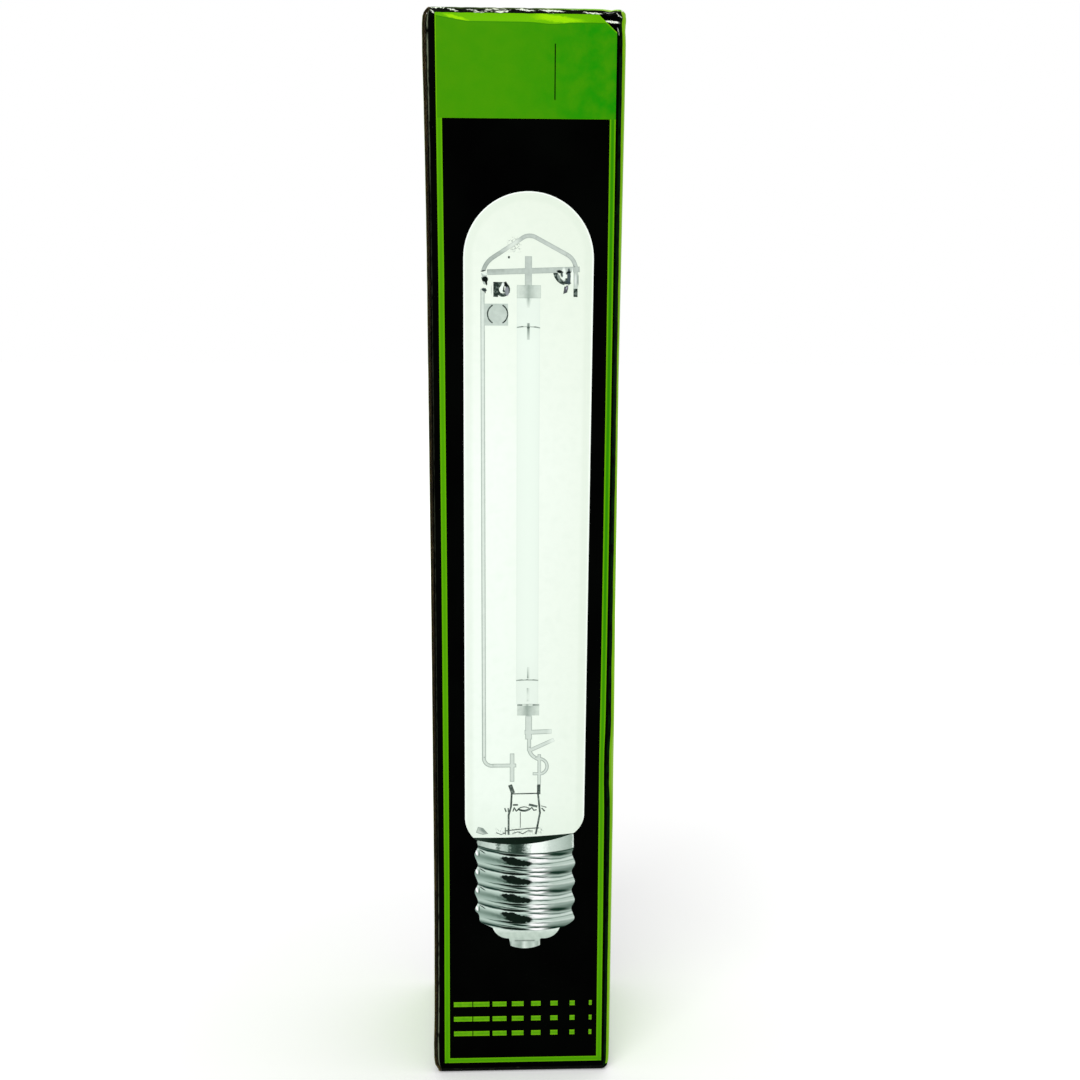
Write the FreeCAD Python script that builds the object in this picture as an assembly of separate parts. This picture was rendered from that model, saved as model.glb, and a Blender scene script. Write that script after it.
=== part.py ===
import FreeCAD, Part
import math
import os
from FreeCAD import Vector

# A tall tuck-end carton for a tubular lamp, folded from one sheet of micro-flute board.
# Millimetres. +Z is up, the printed front faces -Y, and the origin is under its middle.

# The carton, measured outside the board
width = 53.8
depth = 53.4
height = 308.4
board = 0.8                # thickness of the board
bend = 0.3                 # inner radius of every fold

# The glued seam at the front left corner
tab_width = 14.0           # from the front face to the tab's free edge
tab_end_gap = 7.0          # from each end of the carton to the tab
tab_taper = 6.0            # slope at each end of the tab
glue = 0.1                 # between the tab and the side that covers it
raw_edge_back = 0.2        # how far the cut edge of the side lies behind the front face
corner_part = 8.0          # how much of the front is made with the seam corner

# The dust flaps, two at each end, folded in from the sides
flap_length = 20.0
flap_front_gap = 2.0       # from the front fold's centre to the flap
flap_back_gap = 0.5        # from the flap's shoulder to the tuck flap
flap_taper = 3.0           # narrowing at the front edge
flap_shoulder = 7.0        # straight part of the back edge, which the tuck flap catches
flap_slope = 8.0           # narrowing at the back edge, beyond the shoulder
flap_corner = 3.0          # corner radius at the tip

# The two lids, hinged on the front panel, with tuck flaps behind the back panel
lid_side_gap = 0.3         # from the lid's cut edges to the carton's sides
lid_rest_gap = 0.2         # between the lid and the dust flaps below it
fold_gap = 0.08            # running gap between the rolled fold and the lid
lid_opening = 135.0        # degrees that a lid swings out
fold_end_angle = 20.0      # where the rolled fold ends, above the lid's plane
lid_root_angle = 55.0      # how far the lid's root wraps the fold
lid_tip_gap = 0.16         # between the lid's outer corner and the front, when fully open
tuck_length = 15.0
tuck_back_gap = 0.35       # between the tuck flap and the back panel
tuck_side_gap = 0.8        # between the tuck flap and each side
tuck_corner = 8.0
slit_length = 6.0          # lock slits at both ends of the tuck's fold
slit_width = 0.5

# Printed fields
ink = 0.05                 # a field that lies on the board
overprint = 0.03           # a field that lies on another field
margin = 2.45              # black margin beside the green frame
foot_margin = 3.2
line = 1.55                # width of the frame's lines and height of the dashes
header_height = 26.4       # of the green header, below its upper edge
header_top_gap = 0.3       # from the header's upper edge to the fold
header_chamfer_x = 4.8     # the header's cut corner, where the print is torn away
header_chamfer_z = 4.4
rule_width = 0.3           # thin upright rule that divides the header
rule_from_right = 16.3
rule_top_gap = 7.4
rule_length = 14.2

# Three rows of dashes that shrink towards the right
dash_rows = 3
dash_count = 8
dash_row_pitch = 4.87
dash_foot = 12.2           # from the foot of the carton to the lowest row
dash_left_gap = 1.35       # from the green frame to the first dash
dash_right_gap = 1.6
dash_first_gap = 0.27      # between the first two dashes
dash_last_width = 0.85

# Where the pictured lamp lies on the panel
glass_gap = 4.7            # mean gap between the glass tube and the green frame
lamp_offset = 0.85         # from the middle of the black panel to the lamp's axis
crown_gap = 18.7           # from the header to the glass tube's crown
lamp_foot = 41.0           # from the foot of the carton to the lamp's contact


class drawn:
    """The pictured lamp as it is drawn, before it is scaled to the panel: x from the lamp's axis,
    levels down from the crown or up from the neck."""

    radius = 17.75         # of the glass tube
    foot_left = 18.2       # from the axis to the glass's side above its shoulder
    foot_right = 16.95
    neck_left = 15.8       # from the axis to the ends of the neck
    neck_right = 13.9
    neck_tilt = 1.1        # how much higher the neck's right end lies
    shoulder = 6.8         # height of the rounded shoulder above the neck

    wire = 1.15            # thickness of the mount's wires
    tube = 3.2             # half width of the arc tube
    upper_collar = 24.8    # from the crown to the arc tube's upper collar
    lower_collar = 37.7    # from the neck to its lower collar
    collar = 3.5           # length of a collar
    upper_ring = 36.2      # dark rings on the arc tube
    lower_ring = 48.3
    getter_top = 29.8      # the square plate beside the arc tube
    getter_size = 5.9
    rail = -12.55          # the long wire that holds both ends of the arc tube
    rail_foot = 22.4
    elbow = 2.6
    lead_left = -4.35      # the two wires that come up through the neck
    lead_right = 3.6

    turns = 4              # of the cap's rolled thread, which are lower on the right
    pitch = 5.9
    deep = 1.3
    crest_left = 15.6
    crest_right = 14.6
    thread_left = 5.3      # from the neck down to the upper crests
    thread_right = 8.5
    groove = 5.6           # from the neck down to the middle of the upper groove
    rim_dip = 2.2          # how far the cap's rim dips in the middle
    lip_drop = 2.9         # from the lowest crest to the cap's lower edge
    bowl = 3.7             # height of the insulator below that edge
    contact = 2.9
    streaks = (            # reflections on a turn: left end, length, depth below the groove, thickness
        (-7.8, 5.2, 1.3, 1.2), (-6.4, 9.0, 2.2, 1.7), (-7.2, 4.4, 2.9, 1.0), (-5.4, 7.0, 3.2, 1.4))

    lip = thread_right + (turns - 1) * pitch + lip_drop
    cap_height = lip + bowl + contact


fold = board + bend                      # outer radius of every fold
front = -depth / 2
back = depth / 2
left = -width / 2
right = width / 2
panel_left = left + board + glue         # the front panel starts inside the seam
hinge_y = front + fold
hinge_z = height - fold
flap_top = height - board - lid_rest_gap
side_top = flap_top - fold
tuck_radius = back - board - tuck_back_gap - hinge_y
lid_half = width / 2 - lid_side_gap
tuck_half = width / 2 - board - tuck_side_gap
seam_split = left + corner_part          # the seam corner is made apart, up to here

header_top = hinge_z - header_top_gap
header_foot = header_top - header_height
green_left = panel_left + margin
green_right = right - margin
window_left = green_left + line
window_right = green_right - line
lamp_x = (window_left + window_right) / 2 + lamp_offset
glass_radius = (window_right - window_left) / 2 - glass_gap
scale = glass_radius / drawn.radius      # from the lamp as drawn to the lamp as printed
crown = header_foot - crown_gap
neck = lamp_foot + scale * drawn.cap_height

mid_plane = Vector(0, 0, height / 2)
up = Vector(0, 0, 1)


def box(low, high):
    """A box between two corners."""
    size = [b - a for a, b in zip(low, high)]
    return Part.makeBox(*size, Vector(*low))


def union(shapes):
    """One clean solid, or one compound, of all the shapes."""
    joined = shapes[0] if len(shapes) == 1 else shapes[0].fuse(shapes[1:])
    return joined.removeSplitter()


def round_upright(solid, radius, is_rounded=lambda x, y: True):
    """Rounds the upright edges of a block that the test picks."""
    edges = []
    for edge in solid.Edges:
        a, b = edge.Vertexes[0].Point, edge.Vertexes[-1].Point
        if abs(a.x - b.x) + abs(a.y - b.y) < 1e-6 and is_rounded(a.x, a.y):
            edges.append(edge)
    return solid.makeFillet(radius, edges)


def outline(start, *steps):
    """A flat face. Each step is a point, or for an arc a pair: a point on it and its end."""
    edges, here = [], start
    for step in steps:
        if isinstance(step[0], tuple):
            through, there = step
            edges.append(Part.Arc(Vector(*here), Vector(*through), Vector(*there)).toShape())
        else:
            there = step
            edges.append(Part.makeLine(Vector(*here), Vector(*there)))
        here = there
    if math.dist(here, start) > 1e-6:
        edges.append(Part.makeLine(Vector(*here), Vector(*start)))
    return Part.Face(Part.Wire(edges))


# Carton body


def block(x_low, z_low, z_high):
    """The outside of the carton, with rounded upright folds."""
    return round_upright(box((x_low, front, z_low), (right, back, z_high)), fold)


def tube(x_low):
    """Four walls, folded round, whose left side starts at x_low."""
    room = box((x_low + board, front + board, -1), (right - board, back - board, height + 1))
    return block(x_low, 0, height).cut(round_upright(room, bend))


def rolled_fold():
    """The pressed roll at the head of the front panel, which the lid swings round."""
    end = math.radians(fold_end_angle)
    middle = (math.pi + end) / 2

    def at(radius, angle):
        return (0, hinge_y + radius * math.cos(angle), hinge_z + radius * math.sin(angle))

    section = outline(at(fold, math.pi), (at(fold, middle), at(fold, end)),
                      at(bend, end), (at(bend, middle), at(bend, math.pi)))
    section.translate(Vector(left, 0, 0))
    return section.extrude(Vector(width, 0, 0))


def dust_flap():
    """The right side's upper flap: a rounded fold and a tapered plate."""
    root = right - fold
    y_front = hinge_y + flap_front_gap
    y_back = hinge_y + tuck_radius - board - flap_back_gap
    tip = root - flap_length
    low, high = flap_top - board, flap_top
    plate = Part.Face(Part.makePolygon([
        Vector(root, y_front, low), Vector(tip, y_front + flap_taper, low),
        Vector(tip, y_back - flap_slope, low), Vector(root - flap_shoulder, y_back, low),
        Vector(root, y_back, low), Vector(root, y_front, low)])).extrude(Vector(0, 0, board))
    plate = round_upright(plate, flap_corner, lambda x, y: x < tip + 1e-3)
    diagonal = math.sqrt(0.5)
    section = outline((root, y_front, high),
                      ((root + fold * diagonal, y_front, side_top + fold * diagonal),
                       (right, y_front, side_top)),
                      (right - board, y_front, side_top),
                      ((root + bend * diagonal, y_front, side_top + bend * diagonal),
                       (root, y_front, low)))
    return plate.fuse(section.extrude(Vector(0, y_back - y_front, 0)))


def both_ends(shape):
    """The shape at the top, and its mirror image at the foot."""
    return [shape, shape.mirror(mid_plane, up)]


def carton_body():
    corner = box((left - 1, front - 1, -1), (seam_split, front + tab_width, height + 1))
    side_cover = box((left, front + raw_edge_back, 0), (left + board, front + tab_width, height))
    far = front + tab_width + 1
    tab_slope = outline((0, far, height - tab_end_gap - tab_taper),
                        (0, front + board + bend, height - tab_end_gap),
                        (0, front + board + bend, height + 1), (0, far, height + 1))
    tab_slope.translate(Vector(panel_left - glue / 2, 0, 0))
    tab_trim = tab_slope.extrude(Vector(board + glue, 0, 0))
    seam = tube(panel_left).common(corner).cut(both_ends(tab_trim))
    sheet = union([tube(left).cut(corner), side_cover, seam])

    above_front = box((left - 1, front - 1, hinge_z), (right + 1, back - board, height + 1))
    above_sides = box((left - 1, hinge_y, side_top), (right + 1, back - board, height + 1))
    sheet = sheet.cut(both_ends(above_front) + both_ends(above_sides))

    plan = block(left, 0, height).cut(corner).fuse(block(panel_left, 0, height).common(corner))
    roll = rolled_fold().common(plan)
    flap = dust_flap()
    left_flap = flap.mirror(Vector(0, 0, 0), Vector(1, 0, 0))
    return union([sheet] + both_ends(roll) + both_ends(flap) + both_ends(left_flap))


# Lids


def top_lid():
    """A cover panel and a tuck flap that is bowed round the hinge."""
    root_radius = fold + fold_gap
    tip_radius = fold / math.cos(math.radians(lid_opening / 2 - 45)) + lid_tip_gap
    inner_radius = tuck_radius - board
    root_low = math.asin(bend / root_radius)
    root_high = math.radians(lid_root_angle)
    swing = tuck_length / tuck_radius

    def at(radius, angle):
        return (0, hinge_y + radius * math.cos(angle), hinge_z + radius * math.sin(angle))

    def on_level(radius, level):
        return (0, hinge_y + math.sqrt(radius ** 2 - level ** 2), hinge_z + level)

    section = outline(
        on_level(tip_radius, fold), on_level(tuck_radius, fold),
        (at(tuck_radius, -swing / 2), at(tuck_radius, -swing)),
        at(inner_radius, -swing),
        (at(inner_radius, -swing / 2), on_level(inner_radius, bend)),
        at(root_radius, root_low),
        (at(root_radius, (root_low + root_high) / 2), at(root_radius, root_high)))
    section.translate(Vector(-lid_half, 0, 0))
    lid = section.extrude(Vector(2 * lid_half, 0, 0))

    crest = on_level(tuck_radius, fold)
    trough = on_level(inner_radius, bend)

    def along(point):
        return lambda edge: all(abs(v.Point.y - point[1]) + abs(v.Point.z - point[2]) < 1e-4
                                for v in edge.Vertexes)

    lid = lid.makeFillet(fold, [e for e in lid.Edges if along(crest)(e)])
    lid = lid.makeFillet(bend, [e for e in lid.Edges if along(trough)(e)])

    turn = hinge_y + tuck_radius - fold
    tuck_foot = hinge_z - tuck_length - 1
    cover = box((-lid_half, front, height - board), (lid_half, turn, height))
    tuck = outline((-tuck_half, 0, height), (tuck_half, 0, height), (tuck_half, 0, tuck_foot),
                   (-tuck_half, 0, tuck_foot)).extrude(Vector(0, depth, 0))
    lid = lid.common(cover.fuse(tuck))
    tip = hinge_z - tuck_radius * math.sin(swing)
    for side in (-1, 1):
        edge_x = side * tuck_half
        round_x = edge_x - side * tuck_corner
        slack = 2.0
        nip = outline((edge_x, 0, tip + tuck_corner),
                      ((round_x + side * tuck_corner * math.sqrt(0.5), 0,
                        tip + tuck_corner * (1 - math.sqrt(0.5))), (round_x, 0, tip)),
                      (round_x, 0, tip - slack), (edge_x + side * slack, 0, tip - slack),
                      (edge_x + side * slack, 0, tip + tuck_corner))
        slit = box((min(edge_x - side * slit_length, side * width), turn - slit_width, height - 2),
                   (max(edge_x - side * slit_length, side * width), turn, height + 1))
        lid = lid.cut([nip.extrude(Vector(0, depth, 0)), slit])
    return lid.removeSplitter()


# Printed fields on the front. A field is drawn at (x, z) and lies on the board, or on another.


def field(face, layer=0):
    """Raises a face drawn in the XZ plane into a printed field on the front."""
    rise = ink if layer == 0 else overprint
    under = 0 if layer == 0 else ink + (layer - 1) * overprint
    solid = face.extrude(Vector(0, -rise, 0))
    solid.translate(Vector(0, front - under, 0))
    return solid


def flat(start, *steps):
    """An outline in the XZ plane, from (x, z) points."""
    def lift(step):
        if isinstance(step[0], tuple):
            return tuple((x, 0, z) for x, z in step)
        return (step[0], 0, step[1])
    return outline(lift(start), *[lift(step) for step in steps])


def bar(x_low, z_low, x_high, z_high):
    return flat((x_low, z_low), (x_high, z_low), (x_high, z_high), (x_low, z_high))


def disc(x, z, radius):
    circle = Part.Circle(Vector(x, 0, z), Vector(0, 1, 0), radius)
    return Part.Face(Part.Wire(circle.toShape()))


def printed(faces, layer=0):
    """One node of print: all its faces, raised and joined where they meet."""
    return union([field(face, layer) for face in faces])


def green_print():
    """The header and the thin frame round the black panel, printed as one field."""
    outer = flat((green_left, foot_margin), (green_right, foot_margin),
                 (green_right, header_top - header_chamfer_z),
                 (green_right - header_chamfer_x, header_top), (green_left, header_top))
    window = bar(window_left, foot_margin + line, window_right, header_foot)
    rule_x = green_right - rule_from_right
    rule_top = header_top - rule_top_gap
    rule = bar(rule_x - rule_width / 2, rule_top - rule_length, rule_x + rule_width / 2, rule_top)
    return printed([outer.cut([window, rule])])


def dashes():
    """Rows of dashes at an even pitch, each dash narrower than the one to its left."""
    faces = []
    first, last = window_left + dash_left_gap, window_right - dash_right_gap - dash_last_width
    pitch = (last - first) / (dash_count - 1)
    first_width = pitch - dash_first_gap
    shrink = (first_width - dash_last_width) / (dash_count - 1)
    for row in range(dash_rows):
        foot = dash_foot + row * dash_row_pitch
        for k in range(dash_count):
            start = first + k * pitch
            faces.append(bar(start, foot, start + first_width - k * shrink, foot + line))
    return Part.makeCompound([field(face) for face in faces])


def side_print(side):
    """The green field on one side panel, between its folds."""
    x = right if side > 0 else left - ink
    y_low = hinge_y if side > 0 else front + raw_edge_back
    return box((x, y_low, height - side_top), (x + ink, back - fold, side_top))


# The pictured lamp. Places and thicknesses are given as drawn, and come out as printed.


def high(x, drop):
    """A point that keeps its distance from the crown."""
    return (lamp_x + scale * x, crown - scale * drop)


def low(x, rise):
    """A point that keeps its distance from the neck."""
    return (lamp_x + scale * x, neck + scale * rise)


def across(start, end, distance):
    """How far a line from start to end moves when it moves sideways by the distance."""
    run = math.dist(start, end)
    return -(end[1] - start[1]) / run * distance, (end[0] - start[0]) / run * distance


def ring(centre, radius, thick):
    inner, outer = scale * (radius - thick / 2), scale * (radius + thick / 2)
    return disc(*centre, outer).cut(disc(*centre, inner))


def stroke(thick, *points):
    """A line of even thickness through the points, with round joints."""
    half = scale * thick / 2
    parts = [disc(x, z, half) for x, z in points[1:-1]]
    for start, end in zip(points, points[1:]):
        dx, dz = across(start, end, half)
        parts.append(flat((start[0] + dx, start[1] + dz), (end[0] + dx, end[1] + dz),
                          (end[0] - dx, end[1] - dz), (start[0] - dx, start[1] - dz)))
    return union(parts)


def bow(thick, start, through, end):
    """A curved line of even thickness with flat ends."""
    circle = Part.Arc(*[Vector(x, 0, z) for x, z in (start, through, end)]).toShape().Curve
    centre, radius = circle.Center, circle.Radius
    half = scale * thick / 2

    def moved(point, distance):
        away = Vector(point[0], 0, point[1]) - centre
        place = centre + away * ((radius + distance) / away.Length)
        return (place.x, place.z)

    return flat(moved(start, half), (moved(through, half), moved(end, half)),
                moved(end, -half), (moved(through, -half), moved(start, -half)))


def lens(thick, start, end):
    """A streak with pointed ends."""
    x, z = (start[0] + end[0]) / 2, (start[1] + end[1]) / 2
    dx, dz = across(start, end, scale * thick / 2)
    return flat(start, ((x + dx, z + dz), end), ((x - dx, z - dz), start))


def rounded_wire(thick, *points, corner=2.2):
    """A bent wire: straight runs, with an arc at each point between its ends."""
    parts, here = [], points[0]
    for k in range(1, len(points) - 1):
        (xa, za), (xb, zb), (xc, zc) = points[k - 1:k + 2]
        before = min(1, scale * corner / math.hypot(xa - xb, za - zb))
        after = min(1, scale * corner / math.hypot(xc - xb, zc - zb))
        start = (xb + (xa - xb) * before, zb + (za - zb) * before)
        end = (xb + (xc - xb) * after, zb + (zc - zb) * after)
        middle = ((start[0] + end[0]) / 4 + xb / 2, (start[1] + end[1]) / 4 + zb / 2)
        parts += [stroke(thick, here, start), bow(thick, start, middle, end)]
        here = end
    return parts + [stroke(thick, here, points[-1])]


def glass_print():
    """The glass tube: a round crown, straight sides and rounded shoulders."""
    r, shoulder = drawn.radius, drawn.shoulder
    bulge, inset = shoulder * 0.45, 0.9
    return printed([flat(
        high(-r, r), (high(0, 0), high(r, r)), low(drawn.foot_right, shoulder),
        (low(drawn.foot_right - inset, bulge + drawn.neck_tilt / 2), low(drawn.neck_right, drawn.neck_tilt)),
        (low(0, 0.1), low(-drawn.neck_left, 0)),
        (low(-drawn.foot_left + inset, bulge - 0.8), low(-drawn.foot_left, shoulder)))])


def arc_tube_print():
    """The ceramic arc tube between its collars, a shade greyer than the glass."""
    head = high(-drawn.tube, drawn.upper_collar + drawn.collar)
    foot = low(drawn.tube, drawn.lower_collar + drawn.collar)
    return printed([bar(head[0], foot[1], foot[0], head[1])], 1)


def wire_print():
    """The grey wires, plates and collars that carry the arc tube."""
    tube, wire, rail = drawn.tube, drawn.wire, drawn.rail
    crossbar = stroke(1.5, high(-11.3, 21.4), high(13.9, 20.5))
    yoke = rounded_wire(wire, high(-12.3, 21.0), high(-11.6, 18.7), high(0.1, 11.1),
                        high(12.3, 17.6), high(12.9, 20.2))
    level = drawn.upper_collar
    upper_collar = bar(*high(-tube, level + drawn.collar), *high(tube + 0.2, level))
    upper_post = bar(*high(-1.0, level), *high(0.9, 17.1))
    hanger = bar(*high(12.3, 25.7), *high(13.4, 20.3))
    plate_foot = drawn.getter_top + drawn.getter_size
    getter = bar(*high(rail, plate_foot), *high(-5.6, drawn.getter_top))
    sleeve = flat(high(-12.9, 21.6), high(-11.4, 21.6), high(-11.3, 24.8), high(-12.3, 24.6))
    rail_wire = rounded_wire(wire, high(rail, 25.9), low(rail, drawn.rail_foot),
                             low(drawn.lead_left + 1.2, drawn.rail_foot), corner=drawn.elbow)
    level = drawn.lower_collar
    lower_collar = bar(*low(-tube + 0.3, level), *low(tube + 0.3, level + drawn.collar))
    lower_post = bar(*low(-0.5, 30.4), *low(1.4, level))
    strap = stroke(1.4, low(-0.7, 32.5), low(7.2, 32.8))
    brace = stroke(wire, low(0.2, 26.7), low(7.9, 30.3))
    tail = rounded_wire(wire, low(0.6, 30.8), low(0.6, 25.8), low(3.6, 24.1))
    hook = [bow(1.0, low(4.0, 24.4), low(5.9, 22.1), low(4.2, 19.8)),
            stroke(0.9, low(1.7, 19.8), low(4.4, 19.8))]
    leads = [stroke(1.3, low(drawn.lead_left, 17.4), low(drawn.lead_left, 26.1)),
             stroke(1.0, low(drawn.lead_right, 16.4), low(drawn.lead_right, 25.8))]
    smudge = flat(low(-15.0, 1.6), low(-14.4, 3.4), low(-12.9, 3.0), low(-11.4, 1.2), low(-13.0, 0.9))
    plates = [crossbar, upper_post, upper_collar, hanger, getter, sleeve]
    plates += [lower_collar, lower_post, strap, brace]
    return printed(plates + yoke + rail_wire + tail + hook + leads + [smudge], 1)


def dark_print():
    """Small dark parts of the mount, on the glass and on the wires."""
    tube, left_x, right_x = drawn.tube, drawn.lead_left, drawn.lead_right
    left_box = [bar(*high(-9.6, 28.0), *high(-8.3, 24.0)), bar(*high(-9.6, 24.5), *high(-6.2, 24.0)),
                ring(high(-7.0, 26.0), 1.5, 0.9),
                bow(0.5, high(-7.3, 25.5), high(-6.4, 26.6), high(-5.2, 26.6))]
    right_box = [bow(1.2, high(7.3, 20.9), high(8.0, 23.0), high(9.9, 24.2)),
                 bar(*high(10.0, 21.9), *high(11.4, 21.3)), bar(*high(9.9, 24.5), *high(11.4, 22.9))]
    blobs = [flat(high(-12.9, 22.8), high(-11.5, 22.2), high(-11.4, 24.6), high(-12.4, 24.2)),
             flat(high(-12.9, 26.1), high(-11.7, 25.6), high(-11.7, 27.1)),
             flat(high(9.5, 27.1), high(9.8, 25.1), high(10.7, 25.3), high(10.6, 26.7))]
    hanger_end = bar(*high(12.3, 27.9), *high(13.4, 25.7))
    speck = bar(*high(-5.6, 17.7), *high(-5.1, 17.1))
    pinches = [stroke(1.2, low(left_x + 0.3, 13.8), low(left_x - 0.6, 16.4)),
               stroke(1.0, low(right_x - 0.1, 13.4), low(right_x - 0.1, 16.4))]
    stem = [stroke(0.35, low(left_x, 13.6), low(right_x, 13.7)),
            bar(*low(-4.1, 9.9), *low(-2.6, 10.4)), stroke(0.7, low(0.6, 10.2), low(3.1, 9.6)),
            bow(0.3, low(-2.5, 8.9), low(-0.8, 9.5), low(0.9, 8.9)),
            bow(0.6, low(-2.6, 9.0), low(-0.8, 8.3), low(1.0, 9.0)),
            stroke(0.35, low(-4.1, 8.1), low(-3.7, 9.3), low(-3.1, 8.2), low(-2.4, 8.8)),
            stroke(0.35, low(0.7, 8.6), low(1.5, 9.3), low(2.1, 8.4), low(2.9, 8.6)),
            stroke(0.4, low(-6.5, 9.2), low(-6.1, 8.0)), stroke(0.35, low(-5.5, 9.2), low(-5.4, 7.8)),
            stroke(0.4, low(4.4, 9.1), low(5.3, 8.1)), stroke(0.25, low(4.2, 9.8), low(5.8, 9.3)),
            stroke(0.2, low(-1.9, 8.0), low(-1.9, 3.0)),
            bow(0.3, low(-6.5, 2.0), low(-1.0, 2.6), low(3.6, 2.9))]
    scratches = [stroke(0.25, low(-9.0, 1.5), low(-7.6, 0.9), low(-6.5, 1.3)),
                 stroke(0.3, low(-6.3, 0.9), low(-6.3, 3.1)),
                 stroke(0.25, low(-4.2, 1.2), low(-2.6, 1.7), low(-1.2, 1.1), low(0.4, 2.0), low(1.8, 1.9))]
    lead_wires = [stroke(0.55, low(left_x - 0.1, 13.8), low(left_x - 0.3, 9.6), low(left_x - 1.0, 7.0),
                         low(left_x - 1.0, 0.8)),
                  stroke(0.55, low(right_x - 0.3, 13.6), low(right_x + 0.3, 7.6), low(right_x - 0.9, 0.9))]
    marks = [hanger_end, speck] + pinches + stem + scratches + lead_wires
    on_glass = printed(left_box + right_box + blobs + marks, 1)
    collar_end, ring_up, ring_low = drawn.upper_collar + drawn.collar, drawn.upper_ring, drawn.lower_ring
    on_tube = printed([
        bow(0.3, high(-tube, ring_up), high(0.1, ring_up - 0.3), high(tube, ring_up + 0.1)),
        bow(0.3, low(-tube, ring_low), low(0.1, ring_low + 0.2), low(tube, ring_low)),
        flat(high(-0.9, collar_end), high(0.9, collar_end), high(0.3, collar_end + 2.6),
             high(-0.3, collar_end + 2.6)),
        stroke(0.8, high(0, ring_up - 1.2), high(0, ring_up + 3.3)),
        stroke(0.7, low(0.3, ring_low + 0.6), low(0.3, ring_low + 4.0)),
        stroke(0.9, low(0.3, ring_low - 6.3), low(0.3, ring_low - 2.3))], 2)
    top, middle = drawn.getter_top + 0.4, drawn.getter_top + drawn.getter_size / 2 - 0.15
    foot = 2 * middle - top
    on_plate = printed([
        bow(0.35, high(-9.8, top), high(-11.2, middle), high(-9.8, foot)),
        bow(0.35, high(-7.1, top), high(-5.7, middle), high(-7.1, foot)),
        bar(*low(-tube + 0.3, drawn.lower_collar + 3.0), *low(tube + 0.3, drawn.lower_collar + 3.35))], 2)
    return Part.makeCompound(on_glass.cut(wire_print()).Solids + on_tube.Solids + on_plate.Solids)


def turn_edge(side, k, inwards=0, share=0):
    """A point on the edge of one turn of the thread: its crest, or a share of a turn above it."""
    x = drawn.crest_right if side > 0 else -drawn.crest_left
    drop = drawn.thread_right if side > 0 else drawn.thread_left
    return low(x - side * inwards, (share - k) * drawn.pitch - drop)


def rim():
    """The upper edge of the cap: left end, lowest point, right end."""
    return (low(-drawn.neck_left + 0.9, -0.8), low(-0.5, -drawn.rim_dip),
            low(drawn.neck_right, drawn.neck_tilt))


def lip():
    """The lower edge of the cap: right end, lowest point, left end."""
    return low(10.0, -drawn.lip), low(-1.2, -drawn.lip - 1.0), low(-10.1, -drawn.lip + 0.2)


def cap_print():
    """The screw cap's silver shell: collar, rolled turns and lower lip."""
    rim_left, rim_middle, rim_right = rim()
    lip_right, lip_middle, lip_left = lip()
    steps = [(rim_middle, rim_right), low(drawn.neck_right + 0.1, 4.7 - drawn.thread_right)]
    for k in range(drawn.turns):
        steps += [turn_edge(1, k, drawn.deep, 0.58), turn_edge(1, k)]
    last = drawn.lip - drawn.lip_drop
    steps += [(low(drawn.crest_right - 1.4, -last - 1.4), lip_right), (lip_middle, lip_left),
              low(-14.0, -drawn.lip + 2.2), low(-14.1, -drawn.lip + 4.6)]
    for k in reversed(range(drawn.turns)):
        steps += [turn_edge(-1, k), turn_edge(-1, k, drawn.deep, 0.42)]
    return printed([flat(rim_left, *steps)])


def cap_region():
    """All the space in front of the cap's silver field."""
    region = cap_print()
    region.translate(Vector(0, -ink, 0))
    return region


def cap_dark_print():
    """The shade under the rim and in the grooves, and a dark reflection on each turn."""
    rim_left, rim_middle, rim_right = rim()
    shade = printed([flat(low(-drawn.neck_left, 0), rim_left, (rim_middle, rim_right),
                          (low(0, 0.1), low(-drawn.neck_left, 0)))])
    parts = []
    for k in range(drawn.turns):
        level = -drawn.groove - k * drawn.pitch
        parts.append(bow(0.5, low(-13.9, level + 2.6), low(-1.0, level + 0.1), low(12.4, level + 1.3)))
        for start, length, drop, thick in drawn.streaks:
            parts.append(lens(thick, low(start, level - drop), low(start + length, level - drop - 0.6)))
    level = 0.9 - drawn.lip
    parts.append(bow(0.45, low(-11.6, level + 0.2), low(-1.2, level - 1.5), low(11.5, level)))
    return Part.makeCompound(shade.Solids + printed(parts, 1).common(cap_region()).Solids)


def cap_bright_print():
    """The bright reflection to the right of the middle of each turn."""
    parts = []
    for k in range(drawn.turns):
        level = -drawn.groove - k * drawn.pitch
        parts.append(lens(1.9, low(2.4, level - 2.4), low(10.0, level - 1.9)))
    return printed(parts, 1)


def contact_print():
    """The pale insulator bowl under the cap, and its contact."""
    right_end, middle, left_end = lip()
    base, foot = drawn.contact - drawn.cap_height, -drawn.cap_height
    bowl = flat(left_end, (middle, right_end), (low(8.4, -drawn.lip - 2.3), low(4.6, base + 0.3)),
                (low(-0.8, base - 0.9), low(-5.4, base + 0.4)), (low(-8.6, base + 1.6), left_end))
    tip = flat(low(-5.2, base + 0.4), low(4.1, base + 0.3), low(4.1, foot + 1.0),
               (low(-0.5, foot), low(-4.7, foot + 0.9)))
    return printed([bowl, tip])


def save(shape, node):
    """Writes one sub-part, and says how many solids it has and whether they are sound."""
    shape.exportStep(f"parts/{node}.step")
    print(f"{node}: {len(shape.Solids)} solids, {shape.Volume:.1f} mm3, valid {shape.isValid()}")


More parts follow.
